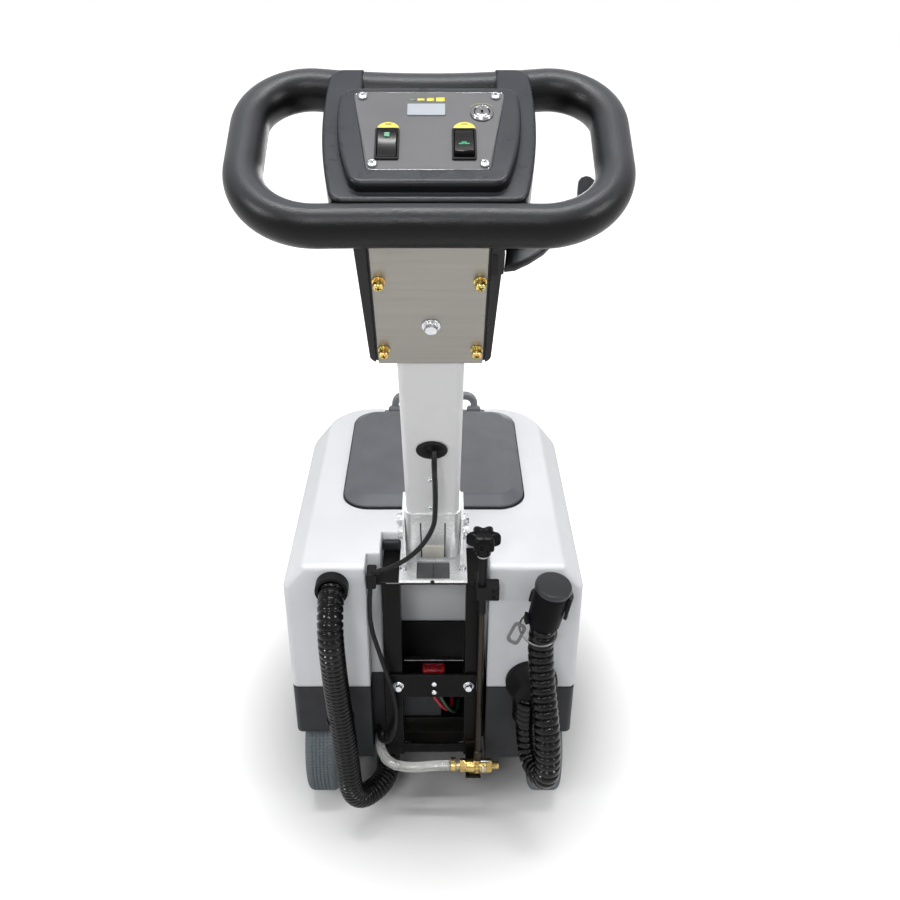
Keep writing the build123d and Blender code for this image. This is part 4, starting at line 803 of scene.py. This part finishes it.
ribbed_hose(
    "suction_hose_ribs",
    "suction_hose",
    suction_points,
    pitch=0.0072,
    valley=0.0164,
    stretched=(0.14, 1.5),
    far_end="object",
    lay="hanging",
)
ribbed_hose(
    "drain_hose_ribs",
    "drain_hose",
    drain_points,
    pitch=0.0120,
    valley=0.0156,
    far_end="fitting",
    lay="hanging",
    with_pieces=[cuff_sleeve, plug_cap, wire_ring],
)
STRAP_LOW = 256
STRAP_HIGH = 264
holder_parts = [
    (band(19.6, 21.6, 20.0, 185.0, (STRAP_LOW, STRAP_LOW), (STRAP_HIGH, STRAP_HIGH)), on_back(-138, -62.5)),
    (prism(rounded(10, 41, 1.5, 3), STRAP_LOW, STRAP_HIGH, 0.8), on_back(-138, -20.5)),
    (band(25.8, 30.6, -78.0, 178.0, (24.0, 20.0), (64.0, 40.0)), ON_CUFF),
    (band(24.6, 29.0, 126.0, 32.0, (1.0, 1.0), (11.0, 11.0)), ON_CUFF),
    (prism(rounded(26, 18, 2.0, 4), 438, 466, 1.0), on_back(163, -9)),
]
fitted("hose_straps", "chassis", "rubber", "head_black", holder_parts, "hose_holders")
NECK_R = 22.1
NECK_RISE = 1.6
NECK_LOW = 229
NECK_PITCH = 10.5
NECK_RIBS = 4
neck_rows = []
for rib in range(NECK_RIBS):
    neck_rows += [(NECK_R + NECK_RISE * rise, NECK_LOW + NECK_PITCH * (rib + share)) for share, rise in RIB]
neck_rows.append((NECK_R, NECK_LOW + NECK_PITCH * NECK_RIBS))
fitted("drain_neck", "chassis", "hose", "hose", [(turned(neck_rows, 40), on_back(145, -24.2))])

CLEAR_R = 0.008
clear = route("clear_hose_tube", clear_points, CLEAR_R)
paint(clear, "clear")
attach(clear, "chassis")
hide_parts("clear_hose")
clear_long = length_of(centreline("clear_hose_line", clear_points))

CABLE_R = 0.0035
CABLE_STEP = 0.004
cable_path = centreline("control_cable_line", cable_points)
cable_long = length_of(cable_path)
cable_steps = round(cable_long / CABLE_STEP)
cable_stations = [(cable_long * i / cable_steps, CABLE_R) for i in range(cable_steps + 1)]
cable = tube("control_cable_tube", "chassis", "cable", cable_path, cable_stations, 16)
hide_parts("control_cable")
cable.parent = None
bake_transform(cable)

# Battery leads
LEAD_TOP = 0.249
LEAD_R = 0.003
for lead, (x, sag, jacket) in enumerate(((-0.004, 0.0, "wire_red"), (0.007, 0.005, "wire_green"))):
    lead_points = [
        behind(x, 0.018, LEAD_TOP),
        behind(x + 0.002, 0.0175, LEAD_TOP - 0.014),
        behind(x + 0.012, 0.018, LEAD_TOP - 0.033 - sag),
        behind(x + 0.022, 0.022, LEAD_TOP - 0.051 - sag),
        behind(x + 0.031, 0.036, LEAD_TOP - 0.064 - sag),
        behind(x + 0.034, 0.060, LEAD_TOP - 0.069 - sag),
        behind(x + 0.034, 0.086, LEAD_TOP - 0.069 - sag),
    ]
    made = route(f"battery_lead_{lead}", lead_points, LEAD_R)
    paint(made, jacket)
    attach(made, "chassis")
    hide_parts("battery_leads")

# Bristles: tufts of splayed strands in rings under the brush backing
TUFT_RINGS = (0.068, 0.086, 0.104, 0.122, 0.138, 0.152)
TUFTS_PER_METRE_OF_RADIUS = 500
TUFT_STRANDS = 9
TUFT_R = 0.0022
STRAND_R = 0.0006
STRAND_TOP = 0.0415
# Rows of a strand: the height from its top, and the share of its splay
STRAND_ROWS = ((0.0, 0.0), (-0.022, 0.35), (-0.0412, 1.0))
STRAND_FACES = [*loop_faces(len(STRAND_ROWS), 4), (8, 9, 10, 11)]


def scatter(height):
    """A random place across a tuft."""
    return Vector((random.uniform(-TUFT_R, TUFT_R), random.uniform(-TUFT_R, TUFT_R), height))


bristles = []
for tuft_ring in TUFT_RINGS:
    tufts = round(tuft_ring * TUFTS_PER_METRE_OF_RADIUS)
    for x, y, _ in ring(tuft_ring, 0.0, tufts):
        for _ in range(TUFT_STRANDS):
            root = Vector((x, BRUSH_Y + y, 0)) + scatter(STRAND_TOP)
            splay = scatter(0)
            verts = []
            for height, share in STRAND_ROWS:
                verts += [root + splay * share + Vector(corner) for corner in ring(STRAND_R, height, 4)]
            bristles.append(((verts, STRAND_FACES), Matrix()))
backing = turned([(0.06, 0.041), (0.157, 0.041), (0.157, 0.0437), (0.06, 0.0437)], 72)
bristles.append((backing, Matrix.Translation((0, BRUSH_Y, 0))))
piece("bristle_tufts", "brush", "bristle", *joined(bristles), ("brush_bristles",))

# Fasteners that ride on the column
PANEL_TOP = 671.5
CHEEK_OUT = 43.5


def on_panel(x, y, spin=0.0):
    """A place on the control panel, in millimetres."""
    return at(ON_COLUMN, x, y, PANEL_TOP, spin)


panel_head = cross_head(4.4, 3.4)
plate_head = cross_head(5.4, 6.0)
small_head = cross_head(3.5, 2.6)
panel_places = [(-61, 107), (61, 107), (-49, 18), (49, 18)]
panel_heads = [(panel_head, on_panel(x, y, 20 + x)) for x, y in panel_places]
fitted("panel_screws", "column", "steel", "screws", panel_heads, "column_screws")
plate_places = [(-48, 461), (48, 461), (-48, 566), (48, 566)]
plate_stack = stacked((0, washer(6.5, 2.6, 1.8)), (1.8, washer(4.9, 2.6, 2.4)), (4.2, plate_head))
plate_heads = [(plate_stack, at(ON_TUBE, x, y, 2, 37 * i + 10)) for i, (x, y) in enumerate(plate_places)]
fitted("plate_screws", "column", "screws", "screws", plate_heads, "column_screws")
bolt_stack = stacked((0, washer(9.6, 3.2, 1.6)), (1.6, washer(7.2, 3.2, 1.4)), (3.0, hex_head(12.0, 4.6)))
column_bolts = [
    (bolt_stack, at(ON_TUBE, 1, 500, 2, 12)),
    (small_head, at(ON_TUBE, -3, 112, 0, 30)),
    (small_head, at(ON_TUBE, -3, 187, 0, 65)),
]
for up, across in ((0.0, 16.0), (40.0, 13.0)):
    for side in (-1, 1):
        place = Matrix.Translation(on_column(0, 0, up / 1000)) @ MM @ spun(90 * side, "Y")
        column_bolts.append((washer(across * 0.72, 3.0, 1.8), at(place, 0, 0, CHEEK_OUT + 0.3)))
        column_bolts.append((hex_head(across, 5.6), at(place, 0, 0, CHEEK_OUT + 2.1, 9 + up)))
fitted("column_bolts", "column", "steel", "zinc", column_bolts, "column_screws")

# Lift lever: its pin, a round-ended paddle with its boss, and the bracket
LEVER_UP = 575.0
LEVER_T = 10.0
ON_PIN = Matrix.Translation(on_column(0.0, 0.014, LEVER_UP / 1000)) @ MM
lever_pin = lathe_x([(3.6, 51), (4.0, 51.6), (4.0, 87.6), (3.6, 88)], 24)
fitted("lever_pin", "column", "black_steel", "black_steel", [(lever_pin, ON_PIN)], "column_screws")
lever_outline = [
    (70, -16.4),
    (80.4, -15.1),
    (94.9, -6.3),
    (108.8, 5.1),
    (132, 35),
    (152, 68),
    (160, 86),
    (164.4, 95),
    (164.4, 100),
    (161, 104.5),
    (156, 106),
    (151, 103.8),
    (148, 99),
    (146.4, 88),
    (145.1, 76),
    (141, 64),
    (131, 53),
    (116, 46.5),
    (96, 43),
    (77.4, 42),
]
lever_parts = [
    (prism(lever_outline, LEVER_UP - LEVER_T / 2, LEVER_UP + LEVER_T / 2, 3.0), ON_COLUMN),
    (lathe_x([(9.2, 73.5), (10.0, 74.3), (10.0, 89.2), (9.2, 90.0)]), ON_PIN),
]
fitted("lever_paddle", "lever", "head_black", "head_black", lever_parts, "lift_lever")
bracket = prism([(58, -24), (69.4, -22), (69.4, -8), (58, -8)], 574, 604, 2.0)
fitted("lever_bracket", "column", "rubber", "head_black", [(bracket, ON_COLUMN)])

# Control panel: charge bars, a bright rim wire as a painted highlight on the panel's edge, switch marks and
# the key lock
BAR_Y = 103.6
charge_bars = (
    (-15.2, 5.6, 3.0, "dim_green"),
    (-7.4, 6.6, 2.8, "yellow"),
    (1.3, 6.8, 4.2, "yellow"),
    (10.4, 8.2, 5.4, "yellow"),
)
for index, (x, wide, high, tone) in enumerate(charge_bars):
    bar = prism(rounded(wide, high, 0.6, 3), 0, 0.35, 0.1)
    fitted(f"charge_bar_{index}", "column", tone, "display", [(bar, on_panel(x, BAR_Y))])
panel_corners = ((69.0, 113.0), (-69.0, 113.0), (-53.5, 11.5), (53.5, 11.5))
# Painted highlight: a bright metal wire round the panel's outline stands for its lit edge.
panel_edge_highlight = wire([(x, y, PANEL_TOP) for x, y in softened(panel_corners, 5.0)], 0.45)
fitted("panel_edge_highlight", "column", "lock", "panel", [(panel_edge_highlight, ON_COLUMN)])
rocker_places = {"left": (-37, 43.5), "right": (31.4, 43)}
mark_places = [x + 0.5 for x, _ in rocker_places.values()]
half = prism(circle(10.3, 28, 0.0, 180.0), 0, 0.25)
fitted("switch_marks", "column", "yellow", "display", [(half, on_panel(x, 62.5)) for x in mark_places])
dash = prism(rounded(6.0, 1.1, 0.3, 2), 0.25, 0.4)
fitted("switch_dashes", "column", "ink", "panel", [(dash, on_panel(x, 70)) for x in mark_places])
ON_KEY = on_panel(48, 84)
arc = circle(14.8, 20, 42.0, 96.0) + list(reversed(circle(13.4, 20, 42.0, 96.0)))
fitted("key_mark", "column", "dim_yellow", "display", [(prism(arc, 0, 0.25), ON_KEY)])
lock_rows = [
    (10.3, 0.0),
    (10.6, 0.5),
    (10.5, 1.4),
    (9.9, 2.3),
    (9.0, 2.9),
    (8.1, 3.1),
    (7.5, 2.7),
    (7.2, 1.6),
]
fitted("lock_ring", "column", "lock", "chrome", [(opened(turned(lock_rows, 48), 1), ON_KEY)], "key_lock")
barrel = turned([(6.9, -6.0), (6.95, 1.9), (6.5, 2.5), (5.6, 2.9), (4.0, 3.1)], 40)
barrel = cut(barrel, prism(rounded(1.9, 4.6, 0.7, 3), 0.6, 5.0))
fitted("key_barrel", "key", "lock", "chrome", [(barrel, ON_KEY)], "key_cylinder")
# Painted shade: a black fill in the bottom of the keyway stands for the shade inside it.
keyhole_shade = prism(rounded(1.8, 4.4, 0.7, 3), 0.6, 1.6)
fitted("keyhole_shade", "key", "rubber", "head_black", [(keyhole_shade, ON_KEY)])

ROCKER_WIDE = 17.0
ROCKER_HALF = 15.5
ROCKER_TOP = 8.5
ROCKER_DIP = 1.8
rocker_side = [(-16.2, 0.8), (-9, -8), (9, -8), (16.2, 0.8), (16.2, 7.6), (ROCKER_HALF, ROCKER_TOP)]
for i in range(1, 12):
    share = i / 12
    rise = ROCKER_TOP - ROCKER_DIP * math.sin(math.pi * share) ** 0.8
    rocker_side.append((ROCKER_HALF - 2 * ROCKER_HALF * share, rise))
rocker_side += [(-ROCKER_HALF, ROCKER_TOP), (-16.2, 7.6)]
rocker_cap = prism(rocker_side, -ROCKER_WIDE / 2, ROCKER_WIDE / 2, 0.7)
# Each rocker: its tip in degrees, the top of its dots and their places
rockers = {
    "left": (9, 8.1, ((0, 7.4), (0, 9.8))),
    "right": (-9, 7.0, ((-2.6, -3.1), (0, -0.9), (2.6, -3.1))),
}
for name, (tip, dot_top, dots) in rockers.items():
    swing = ON_COLUMN @ Matrix.Translation((*rocker_places[name], PANEL_TOP - 4)) @ spun(tip, "X")
    upright = swing @ Matrix(((0, 0, 1, 0), (1, 0, 0, 0), (0, 1, 0, 0), (0, 0, 0, 1)))
    body = f"rocker_{name}"
    fitted(f"{name}_rocker_cap", body, "rocker", "rocker", [(rocker_cap, upright)], f"{name}_rocker")
    dot = prism(rounded(4.8, 1.8, 0.5, 3), 6.4, dot_top)
    marks = [(dot, at(swing, x, y)) for x, y in dots]
    fitted(f"{name}_rocker_mark", body, "green", "display", marks)

# Bolts on the frame and on the bracket's flange
plate_bolt = stacked((0, washer(8.2, 3.5, 1.5)), (1.5, washer(6.4, 3.5, 1.8)), (3.3, hex_head(10.0, 5.2)))
flange_bolt = stacked((0, washer(5.6, 2.5, 1.2)), (1.2, hex_head(8.4, 4.2)))
frame_bolts = [(plate_bolt, at(ON_REAR, x, 273.5, 4, 14)) for x in (-54, 54)]
frame_bolts += [(dome(4.4, 3.0), at(ON_REAR, 1, z, 4)) for z in (277.5, 260.5)]
for x, out in ((-43.5, 25), (43.5, 25), (-33, 74), (33, 74)):
    frame_bolts.append((flange_bolt, on_back(x, out, 475, 3 * x)))
fitted("frame_bolt_heads", "chassis", "steel", "zinc", frame_bolts, "frame_bolts")

# Foot of the column with its guide block and slits, and the flange under it; black strips in the slits, grey
# panes in the window under the foot and a dark block in the slot are painted shade
guide_block = prism(rounded(32, 40, 2.0, 4), 2.0, 3.4, 0.6)
fitted("guide_block", "column", "ivory", "column_paint", [(guide_block, at(ON_TUBE, 0, -22))])
# Painted shade: black strips sit in the slits in place of the shade inside them.
slit_shade = prism(rounded(1.7, 111, 0.3, 2), 0.3, 1.7)
fitted("foot_slit_shade", "column", "rubber", "column_paint", [(slit_shade, at(ON_TUBE, x, 13.5)) for x in (-17, 17)])
# Painted shade: two grey panes stand for the shaded inside of the window under the foot.
shade_pane = prism(rounded(23.2, 42.4, 0.8, 2), 471.0, 471.8, 0.2)
fitted("flange_window_shade", "chassis", "hub", "black_steel", [(shade_pane, on_back(x, 24.5)) for x in (-11.9, 11.9)])
# Painted shade: a dark block stands for the deep shade in the slot beside the frame's top plate.
slot_shade_block = prism(rounded(28, 9, 3.0, 4), 471, 488, 2.5)
fitted("slot_shade_block", "chassis", "base", "seal", [(slot_shade_block, on_back(-63, 80))])
fitted("flange_stop", "chassis", "rubber", "head_black", [(dome(3.0, 1.6), at(ON_REAR, -1, 473, 2))])
# Painted highlight: a light steel strip on the black top plate's edge stands for the edge catching light.
edge_highlight_strip = prism(rounded(19, 1.6, 0.5, 2), 0, 0.5)
fitted("top_plate_highlight", "chassis", "dull_steel", "black_steel", [(edge_highlight_strip, at(ON_REAR, -58.5, 469.7, 1))])

# Grommet: a soft rubber lip with the cable's hole, and a black disc in the hole as painted shade
ON_GROMMET = at(ON_TUBE, 0, 260, 0.3)
lip_rows = [
    (18.0, -3.2),
    (18.0, -0.2),
    (19.0, 0.2),
    (19.4, 1.0),
    (19.0, 2.0),
    (17.6, 2.6),
    (15.5, 2.3),
    (12.0, 1.2),
    (8.5, -0.6),
    (7.0, -2.8),
]
lip = opened(turned(lip_rows, 48))
fitted("grommet_lip", "column", "rubber", "head_black", [(lip, ON_GROMMET)], "grommet")
# Painted shade: a black disc closes the hole and stands for the dark depth behind the lip.
hole_shade = turned([(17.0, -3.4), (17.2, -2.6), (6.0, -2.4), (3.4, -2.6)], 40)
fitted("grommet_hole_shade", "column", "rubber", "head_black", [(hole_shade, ON_GROMMET)], "grommet")

# Water valve: rod, knob and the brass body
ON_ROD = Matrix.Translation(ROD) @ MM
rod_bar = turned([(6.4, 137.3), (7.0, 138), (7.0, 155), (6.2, 156.4), (5.0, 157), (5.0, 436)], 32)
fitted("rod_bar", "valve", "bronze", "bronze", [(rod_bar, ON_ROD)], "valve_rod")
rod_sleeve = turned([(5.2, 435), (6.0, 435.6), (6.0, 535.4), (5.2, 536)], 32)
fitted("rod_sleeve", "valve", "rubber", "head_black", [(rod_sleeve, ON_ROD)], "valve_rod")
rod_washer = turned([(7.4, 536), (8.4, 536.6), (8.6, 538.4), (7.8, 540), (6.0, 540)], 32)
fitted("rod_washer", "valve", "washer", "hood", [(rod_washer, ON_ROD)], "valve_rod")
KNOB_POINTS = 96
KNOB_LOBES = 6
LOBE_RISE = 3.9
# Rows of the knob: radius, height and the share of the lobes' rise
knob_rows = [
    (10.2, 540.0, 0.0),
    (10.8, 541.0, 0.0),
    (10.8, 551.0, 0.0),
    (12.0, 554.0, 0.1),
    (18.2, 556.0, 0.8),
    (19.6, 557.6, 1.0),
    (20.0, 560.0, 1.0),
    (20.0, 568.0, 1.0),
    (19.5, 571.0, 0.95),
    (18.0, 573.2, 0.85),
    (15.4, 574.0, 0.6),
    (13.0, 573.6, 0.3),
    (11.4, 572.0, 0.1),
    (10.6, 571.4, 0.0),
    (4.0, 571.4, 0.0),
]
knob_verts = []
for radius, height, lobe in knob_rows:
    for i in range(KNOB_POINTS):
        angle = 2 * math.pi * i / KNOB_POINTS
        reach = radius + LOBE_RISE * lobe * math.cos(KNOB_LOBES * angle)
        knob_verts.append((reach * math.cos(angle), reach * math.sin(angle), height))
knob = (knob_verts, capped(len(knob_rows), KNOB_POINTS))
fitted("star_knob", "valve", "knob", "head_black", [(knob, ON_ROD)], "valve_knob")

ON_VALVE = Matrix.Translation((ROD.x, ROD.y, 0.122)) @ MM
CLAMP_X = -39
valve_rows = [
    (8.6, -20),
    (11.0, -18),
    (11.5, -16),
    (11.5, -5),
    (9.8, -3.5),
    (9.8, 1.5),
    (11.5, 3),
    (11.5, 13),
    (10.6, 14),
]
thread_rows = [(5.4, 20), (5.9, 20.6), (5.9, 22)]
for turn in range(3):
    thread_rows += [(6.3, 22.6 + 2 * turn), (5.7, 23.6 + 2 * turn)]
thread_rows += [(6.3, 28.6), (5.7, 30), (6.0, 33.2), (5.2, 34)]
barb_rows = [(4.6, -46), (5.8, -44), (5.0, -41), (5.8, -39), (5.0, -36), (5.8, -34), (5.6, -27)]
brass_parts = [(lathe_x(rows), ON_VALVE) for rows in (valve_rows, thread_rows, barb_rows)]
brass_parts.append((turned([(6.4, 0), (7.0, 1), (7.0, 14.2), (6.4, 15)], 32), ON_VALVE))
brass_parts.append((turned([(4.0, 14), (4.0, 22)], 24), ON_VALVE))
for x, across, long in ((-28, 19.0, 9.0), (13, 19.6, 10.0)):
    brass_parts.append((hex_head(across, long), at(ON_VALVE, x, 0) @ spun(90, "Y")))
brass_parts.append((prism(rounded(21, 18, 2.5, 4), -12, -3, 0.8), at(ON_VALVE, -5.5, 0)))
fitted("valve_brass", "chassis", "brass", "brass", brass_parts, "valve_body")
clamp_parts = [
    (opened(lathe_x([(8.2, -43), (9.6, -42.6), (9.9, CLAMP_X), (9.6, -35.4), (8.2, -35)])), ON_VALVE),
    (prism(rounded(8, 7, 1.2, 3), 9.2, 15, 0.6), at(ON_VALVE, CLAMP_X, 0)),
    (cross_head(3.0, 2.4), at(ON_VALVE, CLAMP_X, -3.4, 12.2) @ spun(90, "X")),
]
fitted("hose_clamp", "chassis", "brass", "brass", clamp_parts, "valve_body")
pin_parts = [
    (lathe_x([(1.0, -9), (1.3, -8.4), (1.3, 8.4), (1.0, 9)], 16), at(ON_VALVE, 10, -4, 13.5)),
    (prism(rounded(4.0, 3.0, 0.8, 3), 0, 13, 0.5), at(ON_VALVE, 8.5, -11.6, -2)),
]
fitted("valve_pin", "chassis", "steel", "zinc", pin_parts)
guide_head = cross_head(2.6, 1.8)
guide_heads = [(guide_head, at(ON_REAR, 86, z, 35)) for z in (480, 470)]
fitted("guide_screws", "chassis", "black_steel", "zinc", guide_heads)

# Red two-pole connector: sockets in its top and a notch under its nose, and a light steel bar on its
# carrier's edge as a painted highlight
CONNECTOR_UP = 283
POLES = (-8.2, 8.2)
shell = prism(rounded(34, 18, 2.0, 4), 0, 8.5, 0.7)
socket = prism(rounded(11.5, 9.0, 1.2, 3), 3, 14)
for x in POLES:
    shell = cut(shell, joined([(socket, at(Matrix(), x, 1.2))]))
shell = cut(shell, prism([(-7.5, -10.0), (7.5, -10.0), (3.0, -7.6), (-3.0, -7.6)], -2, 6))
fitted("connector_shell", "chassis", "red", "red", [(shell, on_back(0, 18, CONNECTOR_UP))], "power_connector")
pin = prism(rounded(7.0, 2.0, 0.4, 2), 2.6, 7.0, 0.3)
fitted("connector_pins", "chassis", "bronze", "brass", [(pin, on_back(x, 19.2, CONNECTOR_UP)) for x in POLES])
# Painted highlight: a light steel bar on the black carrier's top edge stands for the edge catching light.
edge_highlight_bar = lathe_x([(0.5, -46.5), (1.0, -46.0), (1.0, 46.0), (0.5, 46.5)], 16)
fitted("carrier_edge_highlight", "chassis", "dull_steel", "black_steel", [(edge_highlight_bar, on_back(0, 22.4, 301.2))])

# Tyres with a fine block tread, and the ribs of the hubs
TYRE_R = 96.0
TYRE_HALF = 25.0
SHOULDER = 10.0
GROOVE = 1.0
TREAD_FROM = 92.0
TREAD_BLOCKS = 116


def tyre_profile():
    """The section as (x, radius): one side, the tread with its grooves, the other side."""
    side = [
        (-24.4, 62.0),
        (-24.9, 64.0),
        (-TYRE_HALF, 72.0),
        (-24.4, 73.0),
        (-24.4, 74.2),
        (-TYRE_HALF, 75.2),
        (-TYRE_HALF, 84.5),
    ]
    for i in range(1, 6):
        angle = math.pi / 2 * i / 6
        out = TYRE_HALF - SHOULDER * (1 - math.cos(angle))
        side.append((-out, TYRE_R - SHOULDER * (1 - math.sin(angle))))
    rows = list(side)
    for x in (-12.0, -6.0, 0.0, 6.0, 12.0):
        rows += [(x - 0.9, TYRE_R), (x - 0.6, TYRE_R - GROOVE), (x + 0.6, TYRE_R - GROOVE), (x + 0.9, TYRE_R)]
    return rows + [(-x, radius) for x, radius in reversed(side)]


def tyre_shape():
    """The section swept round, lower between the blocks of its tread."""
    rows = tyre_profile()
    stations = []
    for block in range(TREAD_BLOCKS):
        for share, drop in ((0.0, 0.0), (0.60, 0.0), (0.68, GROOVE), (0.92, GROOVE)):
            stations.append((2 * math.pi * (block + share) / TREAD_BLOCKS, drop))
    verts = []
    for angle, drop in stations:
        for x, radius in rows:
            reach = radius - (drop if radius > TREAD_FROM else 0.0)
            verts.append((x, reach * math.cos(angle), reach * math.sin(angle)))
    return verts, loop_faces(len(stations), len(rows), True)


tread = tyre_shape()
hub_rib = prism(rounded(36, 5, 1.5, 3), 11.2, 20.5, 0.8)
for side, name in ((-1, "left"), (1, "right")):
    place = Matrix.Translation((side * WHEEL.x, WHEEL.y, WHEEL.z)) @ MM
    fitted(f"{name}_tread", f"{name}_wheel", "tyre", "tyre", [(tread, place)], f"{name}_tyre", sharp=30.0)
    outward = place @ spun(90 * side, "Y")
    ribs = [(hub_rib, outward @ spun(60 * i, "Z") @ Matrix.Translation((34.5, 0, 0))) for i in range(6)]
    ribs.append((washer(61.0, 55.5, 3.0), at(outward, 0, 0, 19.6)))
    fitted(f"{name}_hub_ribs", f"{name}_wheel", "hub", "grey_plastic", ribs)
    nut = hex_head(17.0, 3.0)
    fitted(f"{name}_axle_nut", "chassis", "steel", "zinc", [(nut, at(outward, 0, 0, 30.0, 11))])

# Floor, backdrop and light: the floor glows to white away from the machine but not close to it, a painted
# shadow round the machine, and the sky is white where seen
PAINTED_SHADOW_MIDDLE = (0.0, 0.12, 0.0)
FLOOR_HALF = 9
SKY_LIGHT = 0.22
WHITE = (1, 1, 1, 1)
studio = Material("studio_floor")
spot = studio.add("NewGeometry").outputs["Position"]
# Painted shadow: the floor's glow is cut within a round patch centred under the machine, so the floor is
# darker there.
glow_outside_painted_shadow = studio.ramp(studio.join("DISTANCE", spot, PAINTED_SHADOW_MIDDLE, "VectorMath"), 0.22, 0.56)
studio.shade(
    Base_Color=(0.72, 0.72, 0.72, 1),
    Roughness=0.9,
    Specular_IOR_Level=0.0,
    Emission_Color=WHITE,
    Emission_Strength=studio.join("MULTIPLY", glow_outside_painted_shadow, studio.seen()),
)
floor_mesh = bpy.data.meshes.new("studio_floor")
floor_corners = [(-x * FLOOR_HALF, -y * FLOOR_HALF, 0) for x, y in QUARTERS]
floor_mesh.from_pydata(floor_corners, [], [(0, 1, 2, 3)])
floor = bpy.data.objects.new("studio_floor", floor_mesh)
floor.location.z = -0.0005
paint(floor, "studio_floor")
scene.collection.objects.link(floor)
floor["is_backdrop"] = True

world = bpy.data.worlds.new("studio")
sky = Nodes(world)
strength = sky.ramp(sky.seen(), 0.0, 1.0, SKY_LIGHT, 1.0)
sky.fill(sky.tree.nodes["Background"], {"Color": WHITE, "Strength": strength})
scene.world = world


def lamp(name, place, target, size, power, gloss_only=False):
    light = bpy.data.lights.new(name, "AREA")
    light.shape = "RECTANGLE"
    light.size, light.size_y = size
    light.energy = power
    item = bpy.data.objects.new(name, light)
    item.location = place
    item.rotation_euler = (Vector(target) - Vector(place)).to_track_quat("-Z", "Y").to_euler()
    item.visible_diffuse = not gloss_only
    scene.collection.objects.link(item)


lamp("key", (-0.5, -2.2, 2.3), (0, 0, 0.5), (0.55, 0.55), 16)
lamp("left", (-1.9, -1.25, 1.7), (0, -0.1, 0.4), (0.5, 0.5), 10)
lamp("right", (1.9, -1.25, 1.7), (0, -0.1, 0.4), (0.5, 0.5), 8)
lamp("top", (0, -0.38, 3.0), (0, -0.2, 0.6), (1.6, 0.15), 40)
lamp("top_softbox", (0, -0.38, 3.0), (0, -0.2, 0.6), (1.8, 0.12), 45, True)
lamp("front", (0.5, 2.6, 0.9), (0, 0.2, 0.3), (1.0, 1.0), 12)
lamp("middle_softbox", (-0.1, -2.4, 2.2), (0, -0.1, 0.4), (0.33, 0.33), 14, True)
lamp("left_softbox", (-1.9, -1.2, 1.8), (0, -0.1, 0.4), (0.36, 0.36), 18, True)
lamp("right_softbox", (1.9, -1.2, 1.8), (0, -0.1, 0.4), (0.36, 0.36), 18, True)

low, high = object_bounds()
